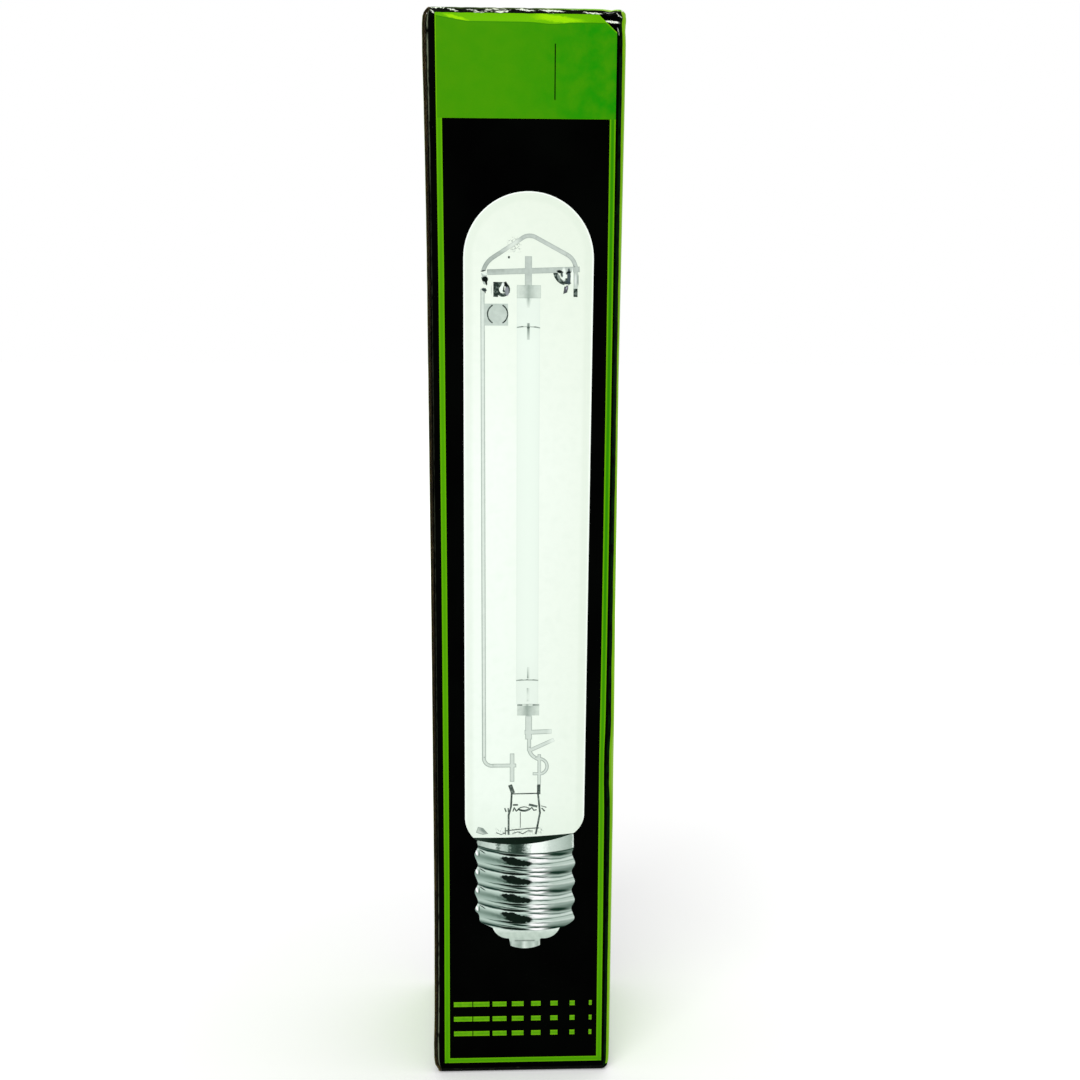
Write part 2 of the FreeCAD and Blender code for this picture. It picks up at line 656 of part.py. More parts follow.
def main():
    os.makedirs("parts", exist_ok=True)
    lid = top_lid()
    nodes = {
        "carton_body": carton_body(),
        "top_lid": lid,
        "bottom_lid": lid.mirror(mid_plane, up),
        "green_print": green_print(),
        "dash_print": dashes(),
        "right_side_print": side_print(1),
        "left_side_print": side_print(-1),
        "lamp_glass_print": glass_print(),
        "arc_tube_print": arc_tube_print(),
        "lamp_wire_print": wire_print(),
        "lamp_dark_print": dark_print(),
        "cap_print": cap_print(),
        "cap_dark_print": cap_dark_print(),
        "cap_bright_print": cap_bright_print(),
        "contact_print": contact_print(),
    }
    for node, shape in nodes.items():
        save(shape, node)


main()
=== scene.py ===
# %% [markdown]
# # A lamp carton, dressed for the camera
# The real object is a tall tuck-end carton for a tubular lamp. It was cut from micro-flute board, a thin
# corrugated card, printed in black and green, film laminated and folded. It has been handled, so its folds
# are scuffed, one upper corner is crushed and its sides are a little drawn in.
# The CAD model gives the exact folded shape, the lids' hinges and the printed fields. This script keeps the
# pictured lamp's fields, gives them finishes, and builds the board itself again with its wear.

# %% Frame
import bmesh
import bpy
import math
from mathutils import Matrix, Vector, noise


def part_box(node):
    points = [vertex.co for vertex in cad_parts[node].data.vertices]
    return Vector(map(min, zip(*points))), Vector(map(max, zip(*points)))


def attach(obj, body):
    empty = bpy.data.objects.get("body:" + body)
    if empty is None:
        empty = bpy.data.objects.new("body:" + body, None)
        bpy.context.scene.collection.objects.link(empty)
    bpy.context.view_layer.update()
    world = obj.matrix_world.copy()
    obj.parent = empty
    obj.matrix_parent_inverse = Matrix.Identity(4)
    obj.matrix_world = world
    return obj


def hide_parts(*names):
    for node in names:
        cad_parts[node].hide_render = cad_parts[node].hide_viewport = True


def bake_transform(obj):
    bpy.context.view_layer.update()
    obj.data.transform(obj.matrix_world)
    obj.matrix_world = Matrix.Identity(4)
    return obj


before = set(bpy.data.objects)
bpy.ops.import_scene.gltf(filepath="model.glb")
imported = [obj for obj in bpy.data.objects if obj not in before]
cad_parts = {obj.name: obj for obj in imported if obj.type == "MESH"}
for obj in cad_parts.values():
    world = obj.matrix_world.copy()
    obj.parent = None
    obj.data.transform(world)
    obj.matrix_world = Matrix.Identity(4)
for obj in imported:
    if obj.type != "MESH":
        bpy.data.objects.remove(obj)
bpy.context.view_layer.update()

# %% [markdown]
# ## Measures
# Lengths are easiest to think about in millimetres, and Blender's unit here is the metre. So the script
# models in millimetres and turns to metres once, when a mesh is done. What the CAD boxes give is read from
# them, so that every piece goes exactly where the CAD part is.

# %% Measures
MM = 0.001


def node_box(node):
    """The lowest and highest corner of a CAD node, in millimetres."""
    low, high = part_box(node)
    return low / MM, high / MM


body_low, body_high = node_box("carton_body")
left, front, foot = body_low
right, back, height = body_high
board = 0.8                    # thickness of the board
flute_pitch = 1.45             # from one of its flutes to the next
fold = 1.1                     # outer radius of its folds
hinge_y, hinge_z = front + fold, height - fold
panel_left = left + 0.9        # the front panel starts inside the glued seam
raw_edge_y = front + 0.2       # cut edge of the left side, beside the front
flap_top = height - 1.0        # upper face of the dust flaps
side_top = flap_top - fold
frame_low, frame_high = (v[0] for v in node_box("green_print"))      # outer borders of the green frame
header_top = node_box("green_print")[1][2]
frame_foot = node_box("green_print")[0][2]
line = 1.55                    # width of the frame's lines
header_foot = header_top - 26.4
chamfer_x, chamfer_z = 4.8, 4.4    # its torn corner
print("carton", round(right - left, 2), "x", round(back - front, 2), "x", round(height - foot, 2), "mm")

# %% [markdown]
# ## Camera
# The camera stands where the photograph was taken: 0.36 m in front of the carton, a little to its left and
# above its middle, and looks down by 11 degrees. A phone's normal lens gives this view. The numbers come
# from the frame's four inner corners and the carton's own corners in the photograph.

# %% Camera
camera_place = Vector((-9.25, -382.5, 234.7))
camera_yaw, camera_pitch, camera_roll = (math.radians(a) for a in (2.26, 10.87, 0.3))

forward = Vector((math.sin(camera_yaw) * math.cos(camera_pitch),
                  math.cos(camera_yaw) * math.cos(camera_pitch), -math.sin(camera_pitch)))
level = Vector((math.cos(camera_yaw), -math.sin(camera_yaw), 0))
upright = level.cross(forward)
sideways = level * math.cos(camera_roll) + upright * math.sin(camera_roll)
upward = upright * math.cos(camera_roll) - level * math.sin(camera_roll)

camera = bpy.data.objects.new("camera", bpy.data.cameras.new("camera"))
camera.data.lens = 42.67            # millimetres, as the sensor's width
camera.data.sensor_width = 36
camera.data.clip_start = 0.01
camera.matrix_world = Matrix.Translation(camera_place * MM) @ Matrix(
    (sideways, upward, -forward)).transposed().to_4x4()
bpy.context.scene.collection.objects.link(camera)
bpy.context.scene.camera = camera
print("camera", round((camera_place - Vector((0, front, hinge_z / 2))).length), "mm from the front")

# %% [markdown]
# ## Nodes and colours
# Every finish below is a small network of nodes. One function adds a node with its settings and links, and
# hands back its outputs. Colours are written as a painter would pick them on a screen, in sRGB, and one
# function turns them to the linear values that Cycles works with.

# %% Node helper


def colour(code):
    """Linear colour of an sRGB hex code."""
    parts = [int(code[i:i + 2], 16) / 255 for i in (1, 3, 5)]
    linear = [p / 12.92 if p <= 0.04045 else ((p + 0.055) / 1.055) ** 2.4 for p in parts]
    return (*linear, 1)


def add(tree, kind, inputs=(), **settings):
    """Adds a node, sets or links its inputs, given by name or in order, and gives its outputs."""
    new = tree.nodes.new("ShaderNode" + kind)
    for name, value in settings.items():
        if name == "stops":
            ramp = new.color_ramp
            while len(ramp.elements) < len(value):
                ramp.elements.new(0.5)
            for element, (place, code) in zip(ramp.elements, value):
                element.position = place
                element.color = colour(code)
        else:
            setattr(new, name, value)
    pairs = inputs.items() if isinstance(inputs, dict) else enumerate(inputs)
    for socket, value in pairs:
        if isinstance(value, bpy.types.NodeSocket):
            tree.links.new(value, new.inputs[socket])
        else:
            new.inputs[socket].default_value = value
    return new.outputs


def new_material(name):
    """An empty material and its tree."""
    material = bpy.data.materials.new(name)
    material.use_nodes = True
    material.node_tree.nodes.clear()
    print("finish:", name)
    return material, material.node_tree


print("a screen's middle grey, #808080, is", round(colour("#808080")[0], 3), "in linear light")

# %% [markdown]
# ## Floor and light
# The carton stood on white paper in a light tent, whose walls glow evenly and give soft shadows. The floor is
# lit to nearly white and gets a little glow that only the camera and mirror-like surfaces see, so it meets
# the white background without a line and still shows the carton's shadow. The glow grows with the distance
# from the carton, where no shadow falls.

# %% Floor
FLOOR_HALF = 4.0            # metres from its middle to its edges
FLOOR_LEVEL = -0.2 * MM     # just below the carton's foot

floor_mesh = bpy.data.meshes.new("floor")
bm = bmesh.new()
bmesh.ops.create_grid(bm, x_segments=2, y_segments=2, size=FLOOR_HALF)
bm.to_mesh(floor_mesh)
bm.free()
floor = bpy.data.objects.new("floor", floor_mesh)
floor.location.z = FLOOR_LEVEL
bpy.context.scene.collection.objects.link(floor)

pale_paper, tree = new_material("pale_paper_floor")
seen = add(tree, "LightPath")
direct = add(tree, "Math", {0: seen["Is Camera Ray"], 1: seen["Is Glossy Ray"]}, operation="MAXIMUM")[0]
direct = add(tree, "Math", {0: direct, 1: seen["Is Transmission Ray"]}, operation="MAXIMUM")[0]
paper = add(tree, "BsdfDiffuse", {"Color": colour("#F2F2F2")})[0]
away = add(tree, "VectorMath", {0: add(tree, "TexCoord")["Object"]}, operation="LENGTH")["Value"]
glow_there = add(tree, "MapRange", {"Value": away, "From Min": 0.1, "From Max": 0.6,
                                    "To Min": 0.12, "To Max": 0.55})[0]
glow_strength = add(tree, "Math", {0: direct, 1: glow_there}, operation="MULTIPLY")[0]
glow = add(tree, "Emission", {"Color": colour("#FFFFFF"), "Strength": glow_strength})[0]
lit_paper = add(tree, "AddShader", {0: paper, 1: glow})[0]
add(tree, "OutputMaterial", {"Surface": lit_paper})
floor_mesh.materials.append(pale_paper)

# %% Walls of the light tent
world = bpy.data.worlds.new("light_tent")
bpy.context.scene.world = world
world.use_nodes = True
sky = world.node_tree
sky.nodes.clear()
seen = add(sky, "LightPath")
direct = add(sky, "Math", {0: seen["Is Camera Ray"], 1: seen["Is Glossy Ray"]}, operation="MAXIMUM")[0]
direct = add(sky, "Math", {0: direct, 1: seen["Is Transmission Ray"]}, operation="MAXIMUM")[0]
TENT_LIGHT, SEEN_WHITE = 0.62, 1.0      # what lights the carton, and what the camera sees
strength = add(sky, "Mix", {0: direct, 2: TENT_LIGHT, 3: SEEN_WHITE})[0]
backdrop = add(sky, "Background", {"Color": colour("#FFFFFF"), "Strength": strength})[0]
add(sky, "OutputWorld", {"Surface": backdrop})
print("the tent lights the carton at", TENT_LIGHT, "and looks", SEEN_WHITE)

# %% Lamps


def soft_light(name, place, aim, size, power):
    """A square area lamp that points at a place, in metres and watts."""
    lamp = bpy.data.lights.new(name, "AREA")
    lamp.size = size
    lamp.energy = power
    holder = bpy.data.objects.new(name, lamp)
    holder.location = place
    holder.rotation_euler = (Vector(aim) - Vector(place)).to_track_quat("-Z", "Y").to_euler()
    bpy.context.scene.collection.objects.link(holder)


soft_light("tent_front", (-0.5, -1.1, 1.0), (0, 0, 0.15), 0.9, 9)
soft_light("tent_top", (0.2, 0.1, 1.3), (0, 0, 0.15), 0.9, 5)
bpy.context.scene.view_settings.view_transform = "Standard"

# %% [markdown]
# ## Patterns
# Every ink below is drawn with the same few patterns: a ramp of colours along a value, a range with soft
# borders, soft noise and a pointed stroke. Noise alone looks like camouflage, so the marks that the eye
# knows, such as a scratch or a highlight, are strokes whose place is shaken by a little noise. All lengths
# are in millimetres on the carton, so a pattern has the same size on every piece.
#
# The sheets of board are bent and worn, so their patterns can't read the place where a point ended up. They
# read the attribute "flat", its place on the perfect carton. The picture's CAD fields aren't bent, so their
# own Object coordinates do.

# %% Places and colours


def flat_place(tree):
    """A sheet's own place on the perfect carton, in millimetres: the vector, then x, y and z."""
    vector = add(tree, "Attribute", attribute_name="flat")["Vector"]
    return (vector, *add(tree, "SeparateXYZ", (vector,)))


def picture_place(tree):
    """A place on a CAD field, in millimetres: the vector, then x, y and z."""
    metres = add(tree, "TexCoord")["Object"]
    vector = add(tree, "VectorMath", {0: metres, "Scale": 1 / MM}, operation="SCALE")[0]
    return (vector, *add(tree, "SeparateXYZ", (vector,)))


def ramp(tree, value, *stops):
    """A colour that changes along a value, from its stops: (value, hex code)."""
    low, high = stops[0][0], stops[-1][0]
    share = add(tree, "MapRange", {"Value": value, "From Min": low, "From Max": high})[0]
    return add(tree, "ValToRGB", (share,),
               stops=[((place - low) / (high - low), code) for place, code in stops])["Color"]


def paint(tree, ink, share, tone, strength=1.0):
    """The ink with a tone laid over it where the share is 1, at a strength."""
    share = add(tree, "Math", (share, strength), operation="MULTIPLY")[0]
    tone = colour(tone) if isinstance(tone, str) else tone
    return add(tree, "Mix", {0: share, 6: ink, 7: tone}, data_type="RGBA")[2]


print("places and colours:", [f.__name__ for f in (flat_place, picture_place, ramp, paint)])

# %% Ranges, noise and strokes


def within(tree, value, low, high, soft=0.1):
    """1 where a value is between two limits, with soft borders."""
    rise = add(tree, "MapRange", {"Value": value, "From Min": low - soft, "From Max": low + soft})[0]
    fall = add(tree, "MapRange", {"Value": value, "From Min": high + soft, "From Max": high - soft})[0]
    return add(tree, "Math", (rise, fall), operation="MULTIPLY")[0]


def boxed(tree, x, x_low, x_high, z, z_low, z_high, soft=0.1):
    """1 inside a rectangle, with soft borders."""
    across, upright = within(tree, x, x_low, x_high, soft), within(tree, z, z_low, z_high, soft)
    return add(tree, "Math", (across, upright), operation="MULTIPLY")[0]


def grain(tree, vector, size, stretch=(1, 1, 1), detail=3.0, seed=0.0):
    """Soft noise around 0.5 whose spots are about the size."""
    moved = add(tree, "Mapping", {"Vector": vector, "Scale": stretch, "Location": (seed, 0, 0)})[0]
    return add(tree, "TexNoise", {"Vector": moved, "Scale": 1 / size, "Detail": detail})["Fac"]


def stroke(tree, place, start, end, half, soft=0.35):
    """1 on a pointed stroke between two places (x, z), with its half width, and 0 off it."""
    run_x, run_z = end[0] - start[0], end[1] - start[1]
    middle = ((start[0] + end[0]) / 2, 0, (start[1] + end[1]) / 2)
    own = add(tree, "Mapping", {
        "Vector": place, "Location": middle, "Rotation": (0, -math.atan2(run_z, run_x), 0),
        "Scale": (math.hypot(run_x, run_z) / 2, 1, half)}, vector_type="TEXTURE")[0]
    away = add(tree, "VectorMath", (own,), operation="LENGTH")["Value"]
    return add(tree, "MapRange", {"Value": away, "From Min": 1, "From Max": 1 - soft})[0]


def ragged_plane(tree, x, z, size, swing):
    """The place (x, z) shaken a little, so that what is drawn there gets torn borders."""
    flat = add(tree, "CombineXYZ", {0: x, 2: z})[0]
    noise_there = add(tree, "TexNoise", {"Vector": flat, "Scale": 1 / size, "Detail": 3})["Color"]
    shift = add(tree, "VectorMath", (noise_there, (0.5, 0.5, 0.5)), operation="SUBTRACT")[0]
    return add(tree, "VectorMath", (shift, (swing, 0, swing), flat), operation="MULTIPLY_ADD")[0]


print("patterns:", [f.__name__ for f in (within, boxed, grain, stroke, ragged_plane)])

# %% [markdown]
# ## Laminated print
# The carton's skin is paper printed in offset inks under a thin glossy film of polypropylene. Ink gives the
# colour, film gives the gloss. The film's own index is about 1.5, but the photograph is lit so evenly that
# its blacks stay black, so its mirror strength is turned down. The film has a faint orange peel, and it is
# very slightly washboarded by the flutes below, about three ripples to a flute: the bump shows both. At
# folds and corners the film is rubbed dull and broken, and white paper shows.

# %% Laminated print
RIPPLE = 0.98 / flute_pitch     # scale of a wave texture that ripples three times in a flute
FILM_RELIEF = 0.012 * MM        # height of the film's ripple and peel


def laminated(tree, vector, ink, mirror=0.05, rub=None):
    """Ink under glossy film. Where it is rubbed through, the torn paper is matt."""
    peel = grain(tree, vector, 2.4, detail=2)
    flutes_below = add(tree, "TexWave", {"Vector": vector, "Scale": RIPPLE, "Distortion": 0.6,
                                         "Detail": 1}, bands_direction="Z")["Fac"]
    relief = add(tree, "Math", (flutes_below, 0.2, peel), operation="MULTIPLY_ADD")[0]
    rough = add(tree, "Math", (peel, 0.12, 0.26), operation="MULTIPLY_ADD")[0]
    if rub is not None:
        rough = add(tree, "Math", (rub, 0.4, rough), operation="MULTIPLY_ADD")[0]
        relief = add(tree, "Math", (rub, 2.5, relief), operation="MULTIPLY_ADD")[0]
    bump = add(tree, "Bump", {"Height": relief, "Strength": 0.25, "Distance": FILM_RELIEF})[0]
    glossy = add(tree, "BsdfPrincipled", {
        "Base Color": ink, "Roughness": rough, "Specular IOR Level": mirror, "Normal": bump})[0]
    add(tree, "OutputMaterial", {"Surface": glossy})


def rubbed(tree, vector, ink, dull, pale="#EFF6E4"):
    """Ink with its folds and corners rubbed dull, and pale chips where the film broke."""
    wear = add(tree, "Attribute", attribute_name="wear")["Fac"]
    coarse = grain(tree, vector, 3.4, (1, 1, 0.5), 2, 7)
    fine = grain(tree, vector, 0.5, (1, 1, 0.4), 4, 3)
    uneven = add(tree, "Math", (fine, 1.8, -0.9), operation="MULTIPLY_ADD")[0]
    uneven = add(tree, "Math", (coarse, 2.0, uneven), operation="MULTIPLY_ADD")[0]
    amount = add(tree, "Math", (wear, uneven), operation="MULTIPLY")[0]
    dulled = add(tree, "MapRange", {"Value": amount, "From Min": 0.35, "From Max": 0.75, "To Max": 0.8})[0]
    chips = add(tree, "MapRange", {"Value": amount, "From Min": 0.86, "From Max": 1.06})[0]
    torn = ramp(tree, fine, (0.35, "#7D8271"), (0.52, "#C9CFBC"), (0.66, pale))
    return paint(tree, paint(tree, ink, dulled, dull), chips, torn), chips


print("film over", round((height - foot) / flute_pitch), "flutes")

# %% [markdown]
# ## Scratches
# The upper fold has been knocked about, so white paper shows through the black in thin torn strokes. They
# could be cut into the mesh, but they are only a few tenths of a millimetre wide and have no depth to speak
# of, so they are drawn in the finish. Each row of the table is one scratch, found on the photograph, and
# fine noise breaks it up, as torn fibres would.

# %% Scratches along the upper fold
SCRATCHES = (       # from (x, z), to (x, z), half width, and how white
    ((-24.7, 307.7), (-23.5, 306.5), 0.22, 1), ((-25.4, 308.1), (-21.0, 308.2), 0.16, 1),
    ((-20.4, 308.0), (-17.2, 307.2), 0.2, 0.9), ((-15.4, 307.7), (-12.2, 307.6), 0.16, 0.6),
    ((-9.8, 307.8), (-3.4, 307.7), 0.1, 0.5), ((-2.6, 308.0), (3.2, 307.6), 0.2, 1),
    ((3.4, 307.8), (11.0, 307.5), 0.22, 1), ((11.5, 308.1), (15.0, 308.0), 0.1, 0.6),
    ((15.2, 307.4), (20.8, 307.1), 0.24, 1), ((21.0, 305.5), (25.4, 304.95), 0.36, 1),
    ((20.9, 307.6), (23.9, 307.6), 0.1, 0.4), ((24.1, 307.6), (26.0, 306.1), 0.16, 0.7),
    ((23.6, 308.3), (25.6, 308.2), 0.3, 0.9), ((24.5, 304.0), (25.2, 301.8), 0.2, 0.35),
    ((22.8, 303.8), (23.5, 303.4), 0.25, 0.2), ((-21.4, 307.8), (-20.9, 308.4), 0.2, 1))


def scratched(tree, x, y, z, ink):
    """Ink with the scratches that show white paper, on the front only."""
    plane = ragged_plane(tree, x, z, 0.7, 0.7)
    total = 0.0
    for start, end, half, white in SCRATCHES:
        scratch = add(tree, "Math", (stroke(tree, plane, start, end, half), white), operation="MULTIPLY")[0]
        total = add(tree, "Math", (total, scratch), operation="MAXIMUM")[0]
    flecks = add(tree, "MapRange", {"Value": grain(tree, plane, 0.35, detail=4), "From Min": 0.34,
                                    "From Max": 0.5})[0]
    total = add(tree, "Math", (total, flecks), operation="MULTIPLY")[0]
    on_front = add(tree, "Math", (y, hinge_y + 0.3), operation="LESS_THAN")[0]
    return paint(tree, ink, add(tree, "Math", (total, on_front), operation="MULTIPLY")[0], "#F2FAE8")


print(len(SCRATCHES), "scratches")

# %% [markdown]
# ## Black print
# The front, the back and the folds are printed black. The black isn't one flat colour: it holds a few specks
# of dust under the film, and its folds are rubbed. A Voronoi texture scatters the dust. It gives each of its
# cells a random colour, so a limit on that chooses some cells, and each of these has a speck at its middle.
# Along the two front folds run patchy ridges. The left one is grey green, partly rubbed film and partly a
# painted highlight along the fold's crown, and it fades towards the middle of the carton's height, where
# hands don't bump it. The right one is a dark green tint.

# %% Black film
black_film, tree = new_material("black_laminated_print")
place, x, y, z = flat_place(tree)
ink = ramp(tree, grain(tree, place, 22), (0.3, "#000000"), (0.7, "#020302"))
DUST_SPACING = 7.5      # mean distance between places where a speck may lie
cells = add(tree, "TexVoronoi", {"Vector": place, "Scale": 1 / DUST_SPACING}, distance="EUCLIDEAN")
random_value = add(tree, "SeparateColor", (cells["Color"],))[0]
chosen = add(tree, "Math", (random_value, 0.7), operation="GREATER_THAN")[0]
dust = add(tree, "MapRange", {"Value": cells["Distance"], "From Min": 0.022, "From Max": 0.008})[0]
ink = paint(tree, ink, add(tree, "Math", (chosen, dust), operation="MULTIPLY")[0], "#4A5048")
ink, chips = rubbed(tree, place, ink, "#10170D")

from_middle = add(tree, "Math", (z, 165), operation="SUBTRACT")[0]
from_middle = add(tree, "Math", (from_middle,), operation="ABSOLUTE")[0]
patchy = add(tree, "MapRange", {"Value": grain(tree, place, 0.9, (1, 1, 0.35), 4), "From Min": 0.32,
                                "From Max": 0.56})[0]
on_front = add(tree, "Math", (y, front + 0.7), operation="LESS_THAN")[0]
patchy = add(tree, "Math", (patchy, on_front), operation="MULTIPLY")[0]
# Ridges on the front folds: on the left fold rubbed film and a painted highlight on its crown, on the right
# fold a dark green tint.
RIDGES = (      # from x, to x, strength near the ends and halfway up, tone
    (panel_left + 0.25, panel_left + 0.6, 0.85, 0.1, "#7A846C"),
    (right - fold - 0.6, right - fold + 0.1, 0.6, 0.6, "#04260A"))
for low, high, at_ends, halfway, tone in RIDGES:
    strength = add(tree, "MapRange", {"Value": from_middle, "From Min": 95, "From Max": 135,
                                      "To Min": halfway, "To Max": at_ends})[0]
    ridge = add(tree, "Math", (within(tree, x, low, high, 0.12), patchy), operation="MULTIPLY")[0]
    ink = paint(tree, ink, ridge, tone, strength)
laminated(tree, place, scratched(tree, x, y, z, ink), 0.006, chips)

# %% [markdown]
# ## Green print
# The header and the thin frame are one field of green ink. The header runs from a yellow green on the left
# to a cooler green on the right, with soft patches. The band that leans back under the fold is painted a
# lighter green with brighter streaks, a painted highlight where it catches the light, and a darker line
# along the crease below it is painted shade. The crease is a curve, so the finish works out its height at
# each x, and compares the place's own height with it. The thin frame is darker along its middle than at its
# borders: the distance to the nearest middle of a line picks the tone.

# %% Green header
green_film, tree = new_material("green_laminated_print")
place, x, y, z = flat_place(tree)
header = ramp(tree, x, (-23.5, "#459100"), (-5, "#429200"), (8, "#378F00"), (24.5, "#148B00"))
patches = ramp(tree, grain(tree, place, 4.5, detail=5, seed=2), (0.35, "#128C00"), (0.65, "#4C9602"))
patched = add(tree, "MapRange", {"Value": x, "From Min": 0, "From Max": 22,
                                 "To Min": 0.15, "To Max": 0.55})[0]
header = paint(tree, header, patched, patches)

# The crease under the band climbs towards the left and dips at x = 7.5.
from_dip = add(tree, "MapRange", {"Value": x, "From Min": 3.5, "From Max": 11.5, "To Min": -1, "To Max": 1},
               clamp=False)[0]
from_dip = add(tree, "Math", (from_dip, 2), operation="POWER")[0]
from_dip = add(tree, "Math", (from_dip, -1), operation="MULTIPLY")[0]
dip = add(tree, "Math", (from_dip,), operation="EXPONENT")[0]
climb = add(tree, "MapRange", {"Value": x, "From Min": -15, "From Max": -25,
                               "To Min": 304.9, "To Max": 306.5})[0]
crease = add(tree, "Math", (dip, -0.45, climb), operation="MULTIPLY_ADD")[0]
above = add(tree, "Math", (z, crease), operation="SUBTRACT")[0]

# Painted highlight: the band under the fold is painted a lighter green, with brighter streaks.
lit = ramp(tree, x, (-24, "#5AAA00"), (-19, "#66B400"), (3, "#6AB800"), (17, "#64B000"), (25, "#54A400"))
plane = ragged_plane(tree, x, z, 1.6, 1.1)
for start, end, half in (((-22.0, 306.9), (-14.0, 304.9), 0.55), ((1.0, 306.4), (17.0, 305.1), 1.0),
                         ((2.5, 306.8), (12.0, 306.0), 0.5)):
    lit = paint(tree, lit, stroke(tree, plane, start, end, half, 0.5), "#98DC02", 0.9)
header = paint(tree, header, within(tree, above, 0, 9, 0.12), lit)
# Painted shade: a darker green line along the crease.
header = paint(tree, header, within(tree, above, -0.14, 0.05, 0.1), "#2F7F00")

# %% Green frame
along = add(tree, "MapRange", {"Value": x, "From Min": frame_high - chamfer_x, "From Max": frame_high},
            clamp=False)[0]
drop = add(tree, "MapRange", {"Value": z, "From Min": header_top, "From Max": header_top - chamfer_z},
           clamp=False)[0]
to_corner = add(tree, "Math", (along, drop), operation="SUBTRACT")[0]
rim = add(tree, "Math", (within(tree, x, frame_low - 1, frame_low + 0.25, 0.06),
                         within(tree, to_corner, -0.07, 0.1, 0.02)), operation="MAXIMUM")[0]
header = paint(tree, header, rim, "#74BC00", 0.7)

off_line = 9.0
for value, middle in ((x, frame_low + line / 2), (x, frame_high - line / 2), (z, frame_foot + line / 2)):
    off = add(tree, "Math", (value, middle), operation="SUBTRACT")[0]
    off = add(tree, "Math", (off,), operation="ABSOLUTE")[0]
    off_line = add(tree, "Math", (off_line, off), operation="MINIMUM")[0]
stripe = ramp(tree, off_line, (0.0, "#2D8200"), (0.3, "#338A00"), (0.5, "#57A200"), (0.8, "#6DB200"))
low_part = add(tree, "MapRange", {"Value": z, "From Min": 150, "From Max": 50})[0]
on_left = add(tree, "Math", (x, 0), operation="LESS_THAN")[0]
light_part = add(tree, "Math", (low_part, on_left), operation="MAXIMUM")[0]
stripe = paint(tree, stripe, light_part, "#5FAC00", 0.5)
ink = paint(tree, header, within(tree, z, -9, header_foot, 0.1), stripe)
ink, chips = rubbed(tree, place, ink, "#3F8A08", "#E9F6C8")
laminated(tree, place, ink, 0.03, chips)
print("header", round(header_top - header_foot, 1), "mm high, lines", line, "mm wide")

# %% [markdown]
# ## Side and lid prints
# The sides are a yellower green than the front, and the front's black print runs on round the right fold, so
# the fold has a black part and a green part with an uneven border between them. The lids are a plain green
# on their outside. Both are broad areas with little in them, so a slow mottle of two near tones and the
# rubbed folds are all that they need.

# %% Green sides
side_film, tree = new_material("yellow_green_laminated_print")
place, x, y, z = flat_place(tree)
ink = ramp(tree, grain(tree, place, 30, (1, 1, 0.5)), (0.3, "#69A404"), (0.7, "#7AB606"))
near_front = add(tree, "Math", (y, hinge_y), operation="LESS_THAN")[0]
# Painted highlight: the outer part of the right front fold is painted a paler green.
ink = paint(tree, ink, within(tree, x, right - 0.3, right + 1, 0.15), "#A9CE5A",
            add(tree, "Math", (near_front, 0.5), operation="MULTIPLY")[0])

# The front's black print runs on round the fold, a little less far halfway up.
border = add(tree, "Math", (grain(tree, place, 9, seed=4), -0.3, x), operation="MULTIPLY_ADD")[0]
border = add(tree, "Math", (within(tree, z, 170, 250, 40), -0.36, border), operation="MULTIPLY_ADD")[0]
black_part = within(tree, border, right - fold - 1, right - fold + 0.05, 0.04)
ink = paint(tree, ink, black_part, "#060806", near_front)
ink, chips = rubbed(tree, place, ink, "#86B52C", "#F4FBD8")
laminated(tree, place, ink, 0.06, chips)

# %% Green lids
lid_film, tree = new_material("green_laminated_lid")
place, x, y, z = flat_place(tree)
ink = ramp(tree, grain(tree, place, 20), (0.3, "#3A8C00"), (0.7, "#4FA004"))
ink, chips = rubbed(tree, place, ink, "#5E8F2A", "#EDF8D0")
laminated(tree, place, ink, 0.06, chips)

# %% [markdown]
# ## Film on the front folds
# Where the front turns over into a lid, the film is creased across and broken, and chips of torn paper show.
# The lid's green shows along the crown of the fold. Two noises make the chips: slow spots say where there
# are many, and fine streaks along the fold say what shape they have.

# %% Fold film
fold_film, tree = new_material("creased_black_print")
place, x, y, z = flat_place(tree)
spots = grain(tree, place, 7, (1, 1, 1), 3, 5)
fine = grain(tree, place, 0.45, (0.22, 1, 1), 4, 6)
amount = add(tree, "Math", (spots, 0.9, fine), operation="MULTIPLY_ADD")[0]
low_fold = add(tree, "Math", (z, height / 2), operation="LESS_THAN")[0]
amount = add(tree, "Math", (low_fold, -0.25, amount), operation="MULTIPLY_ADD")[0]
chips = add(tree, "MapRange", {"Value": amount, "From Min": 1.1, "From Max": 1.2})[0]
torn = ramp(tree, fine, (0.35, "#5E6352"), (0.5, "#A9B09A"), (0.65, "#F4FBE6"))
ink = ramp(tree, fine, (0.3, "#010201"), (0.62, "#0A0C08"), (0.7, "#2A3022"))
ink = scratched(tree, x, y, z, paint(tree, ink, chips, torn))

# The lid's green shows along the fold's crown, more so towards the right.
shaken = add(tree, "Math", (grain(tree, place, 2, (1, 1, 1), 3, 8), 0.3, z), operation="MULTIPLY_ADD")[0]
crown = within(tree, shaken, height - 0.27, height + 9, 0.06)
on_right = add(tree, "MapRange", {"Value": x, "From Min": 2, "From Max": 16, "To Min": 0.1})[0]
crown = add(tree, "Math", (crown, on_right), operation="MULTIPLY")[0]
crown = add(tree, "Math", (crown, within(tree, y, hinge_y + 0.4, 9, 0.1)), operation="MAXIMUM")[0]
ink = paint(tree, ink, crown, ramp(tree, spots, (0.35, "#5DA010"), (0.65, "#B4E060")))
laminated(tree, place, ink, 0.03, chips)

# %% [markdown]
# ## Board
# Under the film the board is brown kraft paper: a liner inside and out, and the flutes between them. Kraft
# is long wood fibres, so it is matt, mottled, and finely streaked along the way it was made. The cut edge of
# a liner is paler than its face, because the knife bares fresh fibres.

# %% Kraft papers
KRAFT_RELIEF = 0.06 * MM        # height of the fibres and ribs


